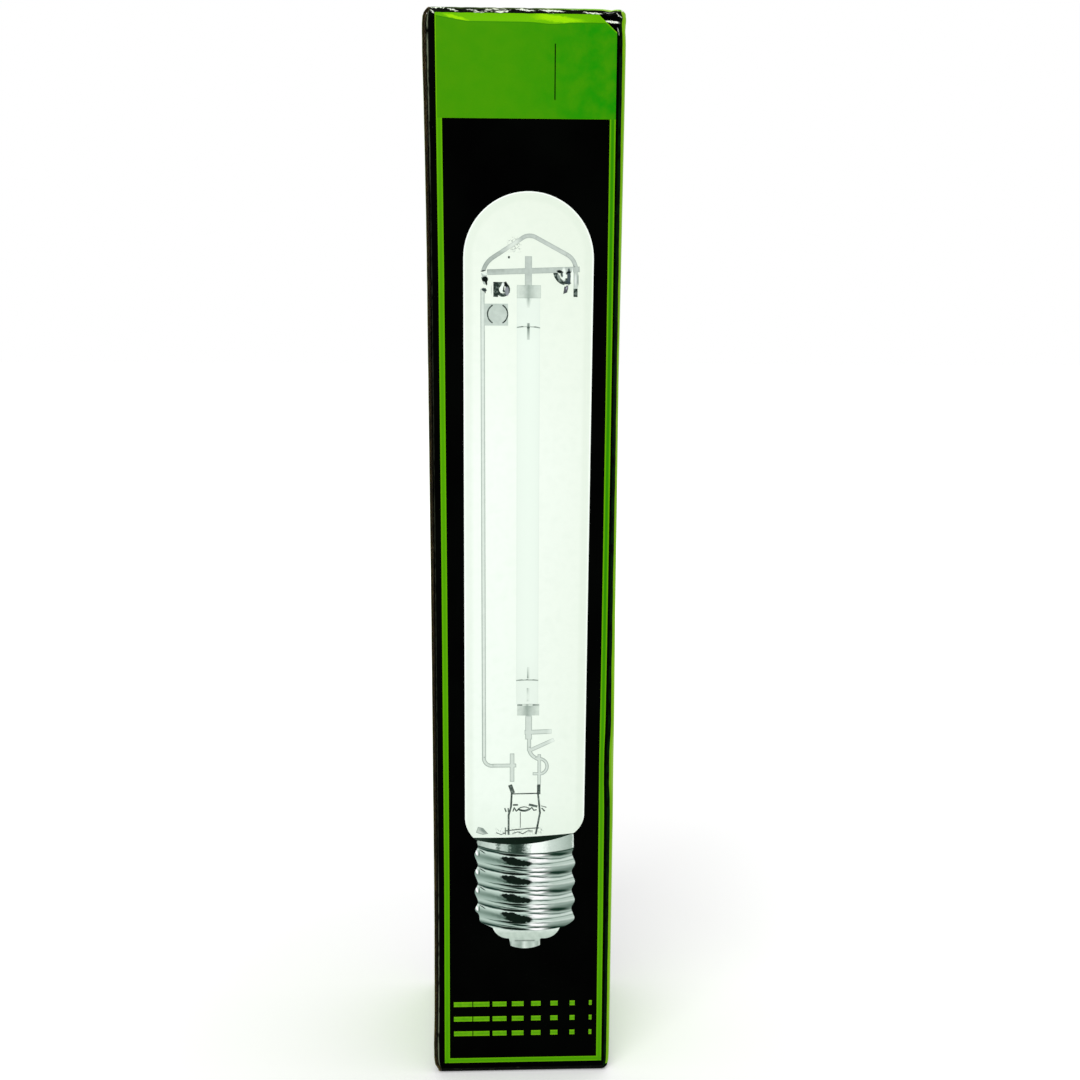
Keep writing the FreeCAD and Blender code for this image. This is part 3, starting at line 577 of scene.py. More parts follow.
def kraft(name, dark, mid, light, fibre, washboard, spotting):
    """Matt brown paper with fibres, and the flutes' faint ribs if the liner lies on them."""
    material, tree = new_material(name)
    place, x, y, z = flat_place(tree)
    fibres = grain(tree, place, fibre, (1, 1, 0.2), 5)
    cloud = grain(tree, place, 9, detail=2, seed=3)
    mixed = add(tree, "Mix", {0: 0.3, 2: fibres, 3: cloud}, data_type="FLOAT")[0]
    brown = ramp(tree, mixed, (0.34, dark), (0.5, mid), (0.66, light))
    # Painted shade: a dark strip on the board beside the front seam, where it lies in the seam's shadow,
    # weaker near the top.
    painted_seam_shade = boxed(tree, x, left + 0.42, left + 1, y, front - 9, front + 0.7, 0.08)
    strength = add(tree, "MapRange", {"Value": z, "From Min": 292, "From Max": 270,
                                      "To Min": 0.3, "To Max": 0.9})[0]
    brown = paint(tree, brown, painted_seam_shade, "#0D0C06", strength)
    # Scattered near-black spots, at the strength given by spotting.
    dark_spots = add(tree, "MapRange", {"Value": grain(tree, place, 1.3, (1, 1, 0.35), 4, 9), "From Min": 0.48,
                                   "From Max": 0.56})[0]
    brown = paint(tree, brown, dark_spots, "#14120A", spotting)
    ribs = add(tree, "TexWave", {"Vector": place, "Scale": RIPPLE}, bands_direction="Z")["Fac"]
    relief = add(tree, "Math", (ribs, washboard, fibres), operation="MULTIPLY_ADD")[0]
    bump = add(tree, "Bump", {"Height": relief, "Strength": 0.5, "Distance": KRAFT_RELIEF})[0]
    matt = add(tree, "BsdfPrincipled", {
        "Base Color": brown, "Roughness": 0.85, "Specular IOR Level": 0.2, "Normal": bump})[0]
    add(tree, "OutputMaterial", {"Surface": matt})
    return material


kraft_liner = kraft("kraft_liner", "#5F4829", "#86683F", "#A78A5C", 0.5, 0.8, 0)
cut_liner = kraft("cut_board_edge", "#443D22", "#7A7050", "#B0AB90", 0.25, 0, 0.6)
# Painted shade: the fluting paper is painted a dark brown for the shade in the hollows between the liners.
painted_shade_flute_paper = kraft("fluting_paper_painted_shade", "#1E1708", "#3D3113", "#5F5028", 0.3, 0, 0.6)

# %% [markdown]
# ## The picture's inks
# The pictured lamp is a halftone print of a studio photograph, so its greys are inks with soft gradients,
# not lit materials. The clips that hold the arc tube are bent strips of bright steel. They are too small for
# shapes of their own, so they are short strokes of black, grey and white that run on over the glass and the
# wires alike. Each row of the table is one stroke, found on an enlarged part of the photograph.

# %% Places in the picture
LAMP_X = 1.3                # the lamp's axis
CROWN, NECK = 261.9, 76.7   # the top of the glass, and where it meets the cap
DOME = 17.75                # radius of its round crown
SHOULDER = 6.8              # height of its rounded shoulders, above the neck
print("the pictured glass is", 2 * DOME, "mm wide and", round(CROWN - NECK, 1), "mm high")

# %% Clips of the mount
CLIPS = (       # from (x, z), to (x, z), half width, softness, tone
    ((10.9, 242.2), (10.9, 237.9), 0.75, 0.4, "#E8F4EA"),
    ((8.8, 241.0), (10.9, 240.4), 0.5, 0.35, "#05120D"),
    ((10.2, 240.7), (10.5, 239.1), 0.42, 0.5, "#46544D"),
    ((9.2, 240.3), (9.9, 238.2), 0.5, 0.5, "#87948D"),
    ((12.3, 241.9), (12.3, 236.9), 0.55, 0.2, "#4C585B"),
    ((11.6, 240.6), (13.0, 240.6), 0.36, 0.3, "#07140F"),
    ((11.0, 238.2), (13.1, 237.6), 0.4, 0.4, "#39464A"),
    ((13.2, 242.0), (13.2, 237.2), 0.25, 0.4, "#F1FAF2"),
    ((12.0, 237.3), (11.2, 234.9), 0.55, 0.35, "#55565E"),
    ((11.85, 236.8), (11.55, 235.9), 0.25, 0.6, "#A6A6B2"),
    ((14.1, 240.6), (14.1, 236.6), 0.4, 0.6, "#D9E2DC"),
    ((14.8, 240.6), (14.8, 236.4), 0.2, 0.5, "#8E9A94"),
    ((-11.6, 240.2), (-9.7, 239.9), 0.34, 0.5, "#E6F2E8"),
    ((-11.9, 240.7), (-10.3, 241.0), 0.22, 0.4, "#24332C"),
    ((-11.5, 238.8), (-9.6, 238.5), 0.85, 0.25, "#040D09"),
    ((-10.4, 238.9), (-10.1, 236.9), 0.34, 0.3, "#040D09"),
    ((-11.6, 236.1), (-10.0, 235.5), 0.55, 0.35, "#2E3A3A"),
    ((-4.7, 237.0), (-4.5, 234.0), 0.7, 0.4, "#8C9196"),
    ((-5.0, 238.2), (-4.6, 236.4), 0.42, 0.4, "#07110D"),
    ((-5.5, 238.2), (-6.3, 234.8), 0.5, 0.35, "#EDF7EF"),
    ((-5.35, 237.2), (-5.6, 234.8), 0.24, 0.5, "#0C1713"),
    ((-8.85, 237.4), (-8.85, 234.2), 0.14, 0.5, "#BFCBC3"))


def clipped(tree, x, z, ink):
    """Ink with the clips' strokes over it."""
    plane = ragged_plane(tree, x, z, 0.9, 0.25)
    for start, end, half, soft, tone in CLIPS:
        ink = paint(tree, ink, stroke(tree, plane, start, end, half, soft), tone)
    return ink


print(len(CLIPS), "strokes for the clips")

# %% [markdown]
# ## Glass
# The glass tube is printed in a pale green white, a little greyer towards its right and inside its edge, with
# a bright line along the edge itself, where the light tent showed. That line follows the outline: round the
# crown, and down sides that lean in a little. So the finish works out how far a place is from the outline.
# Above the dome's centre the distance is measured in a circle, and below it straight across.

# %% Glass
printed_glass, tree = new_material("printed_pale_glass")
place, x, y, z = picture_place(tree)
across = add(tree, "Math", (x, LAMP_X), operation="SUBTRACT")[0]
rise = add(tree, "Math", (z, CROWN - DOME), operation="SUBTRACT")[0]
rise = add(tree, "Math", (rise, 0), operation="MAXIMUM")[0]
in_section = add(tree, "CombineXYZ", (across, rise))[0]
spread = add(tree, "VectorMath", (in_section,), operation="LENGTH")["Value"]
on_left = add(tree, "Math", (across, 0), operation="LESS_THAN")[0]
foot_half = add(tree, "Math", (on_left, 1.25, 16.95), operation="MULTIPLY_ADD")[0]
half = add(tree, "MapRange", {"Value": z, "From Min": CROWN - DOME, "From Max": NECK + SHOULDER,
                              "To Min": DOME, "To Max": foot_half})[0]
to_edge = add(tree, "Math", (half, spread), operation="SUBTRACT")[0]

tone = ramp(tree, z, (77, "#E6F3E6"), (90, "#EEF9EE"), (190, "#F2FBF2"), (225, "#ECF6EA"), (262, "#E6F0E2"))
to_right = add(tree, "MapRange", {"Value": across, "From Min": -8, "From Max": 15, "To Max": 0.45})[0]
tone = paint(tree, tone, to_right, "#E1ECDC")
tone = paint(tree, tone, within(tree, to_edge, 0.5, 2.4, 0.5), "#D9E6D6", 0.35)
EDGE_LINE = 0.34
tone = paint(tree, tone, within(tree, to_edge, -1, EDGE_LINE, 0.08), "#F6FFF6")
mottle = add(tree, "Math", (grain(tree, place, 3.5, detail=4), 0.5), operation="SUBTRACT")[0]
ink = paint(tree, tone, add(tree, "Math", (mottle,), operation="ABSOLUTE")[0], "#C9DACA", 0.4)
print("the bright line is", EDGE_LINE, "mm wide")

# %% Scribbles in the glass
SCRIBBLES = ((-2.6, 247.9, 1.6, 1.7), (-1.0, 78.6, 7.0, 0.9))       # middle x and z, reach in x and z
veins = add(tree, "Math", (grain(tree, place, 1.1, detail=3, seed=4), 0.5), operation="SUBTRACT")[0]
veins = add(tree, "Math", (veins,), operation="ABSOLUTE")[0]
veins = add(tree, "MapRange", {"Value": veins, "From Min": 0.03, "From Max": 0.008})[0]
for mark_x, mark_z, reach_x, reach_z in SCRIBBLES:
    near = boxed(tree, x, mark_x - reach_x, mark_x + reach_x, z, mark_z - reach_z, mark_z + reach_z, 0.55)
    ink = paint(tree, ink, add(tree, "Math", (near, veins), operation="MULTIPLY")[0], "#6B7971", 0.85)
laminated(tree, place, clipped(tree, x, z, ink))
print(len(SCRIBBLES), "patches of scribbles")

# %% [markdown]
# ## Arc tube and mount
# The arc tube is a ceramic pipe, hardly greyer than the glass around it. The wires and plates that carry it
# are nickel and steel, printed in pale greys. A round wire shades off to its sides, so its finish is mixed
# three ways: for the wire as a whole, for its darker sides and for its paler middle, which are faces of
# their own. The dark parts are getters, clips and leads in near black, with soft pale spots.

# %% Arc tube
printed_tube, tree = new_material("printed_arc_tube")
place, x, y, z = picture_place(tree)
across = add(tree, "Math", (x, LAMP_X), operation="SUBTRACT")[0]
across = add(tree, "Math", (across,), operation="ABSOLUTE")[0]
ink = ramp(tree, across, (0, "#E9F5EA"), (1.8, "#E8F4E9"), (2.8, "#E6F2E7"), (3.2, "#E2EEE3"))
for middle in (CROWN - 30, NECK + 45):
    ink = paint(tree, ink, within(tree, z, middle - 7, middle + 7, 4), "#DBE7DC", 0.3)
laminated(tree, place, ink)

# %% Wires and plates


def mount_ink(name, toned, tone):
    """The grey of the pictured mount, mixed with a tone for a wire's darker sides or paler middle."""
    material, tree = new_material(name)
    place, x, y, z = picture_place(tree)
    ink = ramp(tree, z, (77, "#93A297"), (82, "#A9B8AD"), (93, "#C1CEC4"), (103, "#BFCCC2"),
               (113, "#B9C6BC"), (119, "#C6D2C9"), (222, "#C9D5CC"), (233, "#BECDC3"), (235.5, "#CBD8CD"),
               (239, "#AEBAB2"), (242.5, "#AEBAB2"), (246, "#BAC5BD"), (251, "#B1BCB5"))
    for foot_z, head_z in ((233.4, 237.2), (114.3, 118)):
        collar = boxed(tree, x, LAMP_X - 3.6, LAMP_X + 3.6, z, foot_z, head_z, 0.08)
        shade = ramp(tree, x, (LAMP_X - 3.4, "#D5E2D6"), (LAMP_X - 1.5, "#C4D1C6"), (LAMP_X, "#8FA095"),
                     (LAMP_X + 1.6, "#BFCDC2"), (LAMP_X + 3.4, "#D5E2D6"))
        ink = paint(tree, ink, collar, shade)
    ink = paint(tree, ink, boxed(tree, x, -11.41, -11.09, z, 102, 238, 0.08), "#DFEAE0", 0.6)
    for side_low, side_high in ((-11.95, -11.67), (-10.83, -10.55)):
        ink = paint(tree, ink, boxed(tree, x, side_low, side_high, z, 102, 238, 0.05), "#AEBBB1", 0.6)
    ink = paint(tree, ink, boxed(tree, x, -11.7, -5.2, z, 240.5, 246, 0.4), "#7F8B84", 0.55)
    mottle = grain(tree, place, 1.1, detail=4)
    ink = paint(tree, ink, 0.22, ramp(tree, mottle, (0.3, "#94A198"), (0.7, "#D3DED5")))
    ink = paint(tree, ink, boxed(tree, x, -4.4, -1.4, z, 245, 250, 0.7), "#E6F0E4", 0.6)

    getter = boxed(tree, x, -10.8, -3, z, 224.6, 233.2, 0.2)
    lower_collar = boxed(tree, x, LAMP_X - 3.7, LAMP_X + 3.7, z, 114, 118.3)
    plates = add(tree, "Math", (getter, lower_collar), operation="MAXIMUM")[0]
    rounded = add(tree, "MapRange", {"Value": z, "From Min": 233, "From Max": 231, "To Min": 0.3})[0]
    rounded = add(tree, "Math", (rounded, plates), operation="SUBTRACT", use_clamp=True)[0]
    ink = paint(tree, ink, rounded, tone, toned)
    ink = paint(tree, ink, boxed(tree, x, 7.8, 14, z, 101, 112, 0.9), "#EAF5EA", 0.7)
    spot = ragged_plane(tree, x, z, 0.8, 0.6)
    ink = paint(tree, ink, stroke(tree, spot, (-13.2, 79.9), (-9.4, 77.9), 0.95, 0.6), "#84938A")
    laminated(tree, place, clipped(tree, x, z, ink))
    return material


printed_wire = mount_ink("printed_grey_mount", 0.0, "#FFFFFF")
wire_side = mount_ink("printed_wire_side", 0.5, "#87958C")
wire_middle = mount_ink("printed_wire_middle", 0.4, "#E6F1E7")

# %% Dark parts of the mount
printed_dark, tree = new_material("printed_dark_mount")
place, x, y, z = picture_place(tree)
across = add(tree, "Math", (x, LAMP_X), operation="SUBTRACT")[0]
off_axis = add(tree, "Math", (across,), operation="ABSOLUTE")[0]
ink = ramp(tree, grain(tree, place, 0.7, detail=4), (0.32, "#0E1A14"), (0.5, "#2C3A34"), (0.68, "#75837B"))
leads = ramp(tree, grain(tree, place, 1.6, seed=2), (0.35, "#26332C"), (0.65, "#93A298"))
ink = paint(tree, ink, within(tree, z, 76, 94, 0.5), leads, 0.3)
rod = add(tree, "MapRange", {"Value": off_axis, "From Min": 0.12, "From Max": 0.55, "To Max": 0.85})[0]
for line_z in (CROWN - 36.2, NECK + 48.3):
    away = add(tree, "Math", (z, line_z), operation="SUBTRACT")[0]
    away = add(tree, "Math", (away,), operation="ABSOLUTE")[0]
    soft = ramp(tree, away, (0, "#5B6A61"), (0.5, "#7E8D84"), (2, "#AEBCB2"), (4.5, "#DDE9DE"),
                (5.4, "#DDE9DE"), (8, "#9AA99F"))
    soft = paint(tree, soft, rod, "#E2EEE3")
    line_tone = ramp(tree, off_axis, (0, "#4E5D54"), (2, "#6E7D74"), (3.3, "#A5B3A9"))
    off_line = add(tree, "Math", (away, 0.22), operation="GREATER_THAN")[0]
    soft = paint(tree, line_tone, within(tree, across, -1.4, 1.6), soft, off_line)
    ink = paint(tree, ink, boxed(tree, across, -3.5, 3.5, away, -1, 8.4), soft)
laminated(tree, place, clipped(tree, x, z, ink))

# %% [markdown]
# ## Insulator, contact and dashes
# Under the cap the picture shows a pale ceramic bowl and a small tin contact: the bowl gets a ramp along its
# height, and the contact one across its width. The dashes are plain green, a little lighter at their upper
# and lower borders. All three rows are one field, so the remainder of the height, divided by the distance
# from row to row, gives the place in a row.

# %% Insulator and contact
printed_insulator, tree = new_material("printed_insulator")
place, x, y, z = picture_place(tree)
ink = ramp(tree, z, (43, "#A9BAAF"), (44.2, "#B6C8BB"), (46.0, "#BFD0C3"), (46.8, "#D6E3DA"),
           (48, "#EDF7EF"))
tip = ramp(tree, x, (-3.7, "#6E8076"), (-2.9, "#B9C9BF"), (-1.5, "#93A59A"), (-0.3, "#7F9287"),
           (0.7, "#DCE8DF"), (2.1, "#A3B4A9"), (3.5, "#BDCCC2"), (4.7, "#8B9D92"), (5.5, "#CBD8CF"))
ink = paint(tree, ink, within(tree, z, 30, 43.3, 0.15), tip)
ink = paint(tree, ink, boxed(tree, x, -2.2, 3.8, z, 43.3, 43.7, 0.15), "#23322A", 0.8)
ink = paint(tree, ink, 0.25, ramp(tree, grain(tree, place, 1.5), (0.3, "#9FB0A5"), (0.7, "#E2EDE4")))
laminated(tree, place, ink)

# %% Dashes
DASH_FOOT, DASH_PITCH = 12.2, 4.87      # height of the lowest row, and from one row to the next
dash_ink, tree = new_material("printed_dashes")
place, x, y, z = picture_place(tree)
row = add(tree, "Math", (z, DASH_FOOT), operation="SUBTRACT")[0]
row = add(tree, "Math", (row, DASH_PITCH), operation="MODULO")[0]
ink = ramp(tree, row, (0, "#74BA00"), (0.35, "#5FA600"), (0.78, "#4A9800"), (1.2, "#61A800"),
           (1.55, "#78BE06"))
ink = paint(tree, ink, 0.3, ramp(tree, grain(tree, place, 1.2), (0.3, "#489000"), (0.7, "#78B80E")))
laminated(tree, place, ink, 0.06)

# %% [markdown]
# ## The rolled thread
# A screw shell is tin or nickel plated sheet, rolled into a thread. Under a light tent each turn shows the
# same reflections: pale flanks with dark lines in the groove, a ragged black blotch left of the middle, where
# the tent is open, a white window beside it, and a dark lens on the right. So the finish measures how far
# down its turn a place lies. It lays four upright strips side by side, each fading into the next, draws the
# lines over them, and then the blotches, whose place is shaken more so that their borders tear.
#
# The turns slope and are bowed a little. A curve of the second degree across the cap gives that: the place
# across, times itself less 3.09, times a small number.

# %% Strips of the thread
PITCH, FIRST_TURN = 5.9, 3.64       # height of a turn, and from the neck down to the first one
TURN_BOW, TURN_SLOPE = 0.010774, -3.09
STRIPS = (      # where it fades in, from x and to x, then the stops from 0 to 1 along a turn
    (None, None, ((0, "#93A99E"), (0.22, "#B4C8BD"), (0.36, "#5F766B"), (0.46, "#D2E4DA"), (0.62, "#AFC3B8"),
                  (0.85, "#7C9287"), (1, "#93A99E"))),
    (-9.5, -5.0, ((0, "#7F958A"), (0.08, "#CFE1D7"), (0.2, "#8CA297"), (0.3, "#C3D6CB"), (0.42, "#566C61"),
                  (0.52, "#CFE1D7"), (0.62, "#93A99E"), (0.85, "#4E6459"), (1, "#7F958A"))),
    (-0.6, 3.0, ((0, "#D5E2DA"), (0.06, "#FFFFFF"), (0.2, "#FFFFFF"), (0.3, "#9DB0A5"), (0.4, "#FFFFFF"),
                 (0.5, "#8FA398"), (0.58, "#FFFFFF"), (0.76, "#FFFFFF"), (0.86, "#8FA398"), (0.93, "#E4F0E9"),
                 (1, "#D5E2DA"))),
    (3.6, 8.6, ((0, "#B4C5BB"), (0.08, "#C5D3CA"), (0.2, "#93A69B"), (0.3, "#6F8278"), (0.42, "#5C7166"),
                (0.55, "#93A69B"), (0.62, "#A9BBB1"), (0.67, "#7F9288"), (0.74, "#CDDBD3"), (0.84, "#C0CFC6"),
                (0.88, "#7C8F84"), (0.93, "#B4C5BB"), (1, "#B4C5BB"))))

printed_thread, tree = new_material("printed_plated_thread")
place, x, y, z = picture_place(tree)
across = add(tree, "Math", (x, LAMP_X), operation="SUBTRACT")[0]
drop = add(tree, "Math", (NECK - FIRST_TURN, z), operation="SUBTRACT")[0]
bowed = add(tree, "Math", (across, TURN_SLOPE), operation="ADD")[0]
bowed = add(tree, "Math", (across, bowed), operation="MULTIPLY")[0]
down = add(tree, "Math", (bowed, TURN_BOW, drop), operation="MULTIPLY_ADD")[0]
wobble = grain(tree, place, 1.3, (0.35, 1, 1), 2, 8)
down = add(tree, "Math", (wobble, 0.3, down), operation="MULTIPLY_ADD")[0]
in_turn = add(tree, "Math", (down, PITCH), operation="FLOORED_MODULO")[0]
share = add(tree, "Math", (in_turn, PITCH), operation="DIVIDE")[0]
streaky = grain(tree, place, 0.9, (0.5, 1, 1.4), 4)
ragged = add(tree, "Math", (streaky, 3.6, across), operation="MULTIPLY_ADD")[0]
for start, end, stops in STRIPS:
    strip = ramp(tree, share, *stops)
    if start is None:
        ink = strip
        continue
    fade = add(tree, "MapRange", {"Value": ragged, "From Min": start + 1.8, "From Max": end + 1.8},
               interpolation_type="SMOOTHSTEP")[0]
    ink = paint(tree, ink, fade, strip)

# %% Lines and blotches of the thread
LINES = (       # from (x, down the turn), to the same, half width, softness, tone
    ((-16.0, 4.6), (-5.0, 4.9), 1.0, 0.9, "#6F867A"), ((4.0, 0.6), (16.0, 1.4), 0.6, 0.9, "#8A9D93"),
    ((-17.0, 2.35), (-4.0, 2.55), 0.5, 0.6, "#16332A"), ((-9.0, 2.6), (1.6, 2.45), 0.5, 0.35, "#06150D"),
    ((-10.0, 1.8), (-0.6, 1.9), 0.22, 0.5, "#1D382D"), ((-10.5, 0.7), (1.9, 0.4), 0.42, 0.35, "#06150D"),
    ((0.5, 0.4), (8.5, 0.65), 0.26, 0.6, "#5C7267"), ((-6.0, 1.05), (1.8, 1.3), 0.42, 0.5, "#142D22"),
    ((-0.8, 1.68), (7.4, 1.98), 0.28, 0.4, "#1B3B2E"), ((0.6, 2.35), (5.6, 2.6), 0.34, 0.5, "#FFFFFF"),
    ((4.4, 2.0), (14.4, 3.3), 0.72, 0.6, "#0F2C20"), ((-0.8, 2.98), (8.0, 3.75), 0.27, 0.4, "#28443A"),
    ((5.2, 3.65), (13.0, 4.3), 0.42, 0.7, "#6F8279"), ((1.2, 5.05), (8.5, 5.45), 0.25, 0.6, "#4E635A"),
    ((-15.0, 3.3), (-14.6, 5.1), 0.42, 0.4, "#FFFFFF"), ((-14.3, 2.8), (-12.0, 3.6), 0.24, 0.4, "#16332A"),
    ((-14.15, 2.9), (-14.0, 5.1), 0.16, 0.4, "#3C5348"), ((-13.0, 0.6), (-5.0, 0.9), 0.22, 0.6, "#5C7267"))
BLOTCHES = (        # the same, with borders that tear
    ((-11.0, 4.8), (-5.5, 4.9), 0.6, 0.9, "#5C7267"), ((-8.8, 5.4), (0.6, 5.55), 0.45, 0.6, "#12301F"),
    ((-8.2, 4.0), (-1.6, 4.2), 0.98, 0.2, "#03100A"), ((-6.8, 4.75), (2.2, 5.0), 1.15, 0.2, "#04140B"))

line_plane = ragged_plane(tree, across, in_turn, 2.0, 0.25)
for start, end, half, soft, tone in LINES:
    ink = paint(tree, ink, stroke(tree, line_plane, start, end, half, soft), tone)
torn_plane = ragged_plane(tree, across, in_turn, 0.9, 1.3)
for start, end, half, soft, tone in BLOTCHES:
    ink = paint(tree, ink, stroke(tree, torn_plane, start, end, half, soft), tone)
last_turn = ragged_plane(tree, across, down, 0.9, 1.3)
ink = paint(tree, ink, stroke(tree, last_turn, (-6.8, 22.9), (2.2, 23.2), 1.2, 0.2), "#04140B")
print(len(LINES), "lines and", len(BLOTCHES), "blotches in a turn of", PITCH, "mm")

# %% Collar of the thread
COLLAR_FOOT = 1.755         # how far the smooth collar reaches down into the first turn
speckled = grain(tree, place, 0.5, detail=4, seed=6)
ragged = add(tree, "Math", (speckled, 3.0, across), operation="MULTIPLY_ADD")[0]
collar = ramp(tree, ragged, (-13.5, "#8EA095"), (-11.5, "#B5C5BB"), (-8, "#CBD9D0"), (-6.9, "#4C5F55"),
              (-6.1, "#B9C9BF"), (-4.4, "#9FB2A7"), (-3.2, "#3A4E43"), (-1.2, "#22332A"), (0.4, "#3B4B43"),
              (1.9, "#C4D3CA"), (3.0, "#F9FFFB"), (6.5, "#F0FAF3"), (8.5, "#C9D7CE"), (12.5, "#AEBEB4"),
              (14.7, "#9AABA0"), (15.5, "#D8E5DC"))
ink = paint(tree, ink, within(tree, down, -50, COLLAR_FOOT, 0.1), collar)
ink = paint(tree, ink, within(tree, down, 1.64, 2.05, 0.1), "#2C4238")
laminated(tree, place, ink)
print("the collar ends", round(FIRST_TURN + COLLAR_FOOT, 2), "mm below the neck")

# %% Shadow above the thread
cap_shadow, tree = new_material("printed_cap_shadow")
place, x, y, z = picture_place(tree)
ink = ramp(tree, x, (-14, "#2B3A31"), (-9, "#0B1C13"), (0, "#04160B"), (9, "#071A0F"), (16, "#26362D"))
laminated(tree, place, ink)

# %% [markdown]
# ## Kept fields
# Five of the printed fields have the right shape in the CAD model, down to their borders. They stay as they
# are, and only their material slots get the finishes made above.

# %% Finishes of the kept fields
for node, finish in (("lamp_glass_print", printed_glass), ("arc_tube_print", printed_tube),
                     ("lamp_dark_print", printed_dark), ("contact_print", printed_insulator),
                     ("dash_print", dash_ink)):
    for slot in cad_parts[node].material_slots:
        slot.material = finish
    print(node, "has the finish", finish.name)

# %% [markdown]
# ## How the carton is worn
# A carton that has been handled isn't a perfect prism. Its long walls are drawn in a little between the
# stiff ends, the band under the top fold leans back, the folds are bruised and one upper corner is crushed.
# All of that is one function from a place on the perfect carton to its place on the worn one. Every piece
# of board and film goes through it, so print, board and flutes stay together. The tables come from the
# carton's outline in the photograph: a height in millimetres, and how far the side moves inwards there.

# %% Tables of the outline
LEFT_SIDE = ((0.0, 1.5), (1.0, 1.3), (1.8, 0.9), (2.6, 0.5), (3.4, 0.34), (4.2, 0.2), (6.0, 0.04),
             (20, 0.4), (34, 0.54), (60, 0.72), (150, 0.74), (244, 0.6), (272, 0.38), (286, 0.2),
             (298, 0.0), (304.4, 0.0), (306.0, 0.16), (306.8, 0.34), (307.6, 0.9), (308.4, 1.7))
RIGHT_SIDE = ((0.0, 1.1), (1.0, 0.5), (1.8, 0.35), (2.6, 0.2), (3.4, 0.1), (6.0, 0.0), (100, 0.03),
              (146, 0.3), (174, 0.33), (215, 0.45), (258, 0.2), (286, 0.05), (300, 0.0), (302.6, 0.15),
              (303.4, 0.2), (304.4, -0.05), (306.0, -0.02), (307.4, 0.05), (308.4, 0.3))
LEFT_LINE = ((0.0, 0.0), (20, 0.12), (60, 0.36), (150, 0.44), (240, 0.36), (286, 0.1), (308.4, 0.0))
RIGHT_LINE = ((0.0, 0.0), (50, 0.14), (80, 0.28), (100, 0.36), (130, 0.2), (200, 0.06), (308.4, 0.0))


def between(table, place):
    """The value at a place, on straight runs between the table's rows."""
    for (low, first), (high, last) in zip(table, table[1:]):
        if place <= high:
            return first + (last - first) * max(0, place - low) / (high - low)
    return table[-1][1]


print("at half height the left wall moves in by", round(between(LEFT_SIDE, height / 2), 2), "mm")

# %% Drawn-in walls


def ease(low, high, value):
    """0 at low, 1 at high, and smooth between them."""
    t = min(1, max(0, (value - low) / (high - low)))
    return t * t * (3 - 2 * t)


def crumple(place, size, seed):
    """A smooth random shift between -1 and 1, the same on every run."""
    return noise.noise(Vector((place[0] / size + seed, place[1] / size, place[2] / size)))


def drawn_in(x, y, z):
    """How far a point moves across the carton, towards its middle."""
    side, line = (LEFT_SIDE, LEFT_LINE) if x < 0 else (RIGHT_SIDE, RIGHT_LINE)
    at_wall = between(side, z)
    if min(z, height - z) < 6:                  # the rear corners are rounder than the front ones
        at_wall *= 1 - 0.75 * ease(-20, 10, y)
    share = ease(24.3, 26.2, abs(x))
    amount = between(line, z) * ease(17.5, 23.0, abs(x)) * (1 - share) + at_wall * share
    return -math.copysign(amount, x)


print("the left front fold moves in by", round(drawn_in(left, front, height / 2), 2), "mm")

# %% Worn shape


def worn(place):
    """Where a point of the perfect carton lies on the worn one, in millimetres."""
    x, y, z = place
    dx, dy, dz = drawn_in(x, y, z), 0.0, 0.0
    at_front, at_back = ease(-25.2, -26.6, y), ease(25.2, 26.6, y)

    # the band beside the front's folds leans back, and the fold's crown is bruised
    crease = 304.9 + 0.16 * max(0, -15 - x) - 0.45 * math.exp(-((x - 7.5) / 4) ** 2)
    lean = ease(crease - 0.3, crease + 1.6, z) * (1 - ease(307.4, 308.2, z))
    dy += at_front * (0.25 * lean + 0.16 * ease(2.4, 0.9, z) * ease(0, 0.8, z))
    near_top, near_edge = ease(305.8, 307.6, z), ease(-24.2, -25.8, y)
    dz += near_top * near_edge * (0.14 - 0.2 * max(0, crumple((x, 0, 0), 2.6, 3)))
    dy += near_top * at_front * 0.18 * max(0, crumple((x, 0, z), 1.7, 11))

    # a soft dent in the right front fold, and the crushed upper right corner
    dent = ease(84, 96, z) * ease(113, 101, z) * ease(23.6, 25.4, x) * at_front
    dx -= 0.42 * dent
    dy += 0.3 * dent
    crushed = ease(17.0, 23.5, x) * ease(302.0, 304.6, z) * ease(-20, -25, y)
    dy += crushed * at_front * max(-0.05, 0.24 + 0.42 * crumple(place, 1.9, 5))
    dz -= crushed * near_top * (0.1 + 0.4 * max(0, crumple(place, 1.6, 8)))
    dx -= crushed * ease(24.5, 26.5, x) * (0.08 + 0.25 * crumple(place, 1.4, 21))

    # the upright folds are a little uneven, and the broad walls aren't quite flat
    corner = ease(24.6, 26.2, abs(x)) * max(at_front, at_back)
    dx -= math.copysign(corner * 0.08 * abs(crumple((0, y, z), 3.4, 31)), x)
    bay = math.sin(math.pi * min(1, max(0, z / height)))
    dy -= at_back * bay * (0.4 * math.cos(math.pi * x / 54) ** 2 + 0.1 * crumple((x, 0, z), 45, 2))
    dx -= math.copysign(0.3 * ease(26.0, 26.7, abs(x)) * bay * math.cos(math.pi * y / 54) ** 2, x)
    return Vector((x + dx, y + dy, z + dz))


corner_moved = worn((right, front, height)) - Vector((right, front, height))
print("the upper right corner is pushed in by", round(corner_moved.length, 2), "mm")

# %% Rubbed places


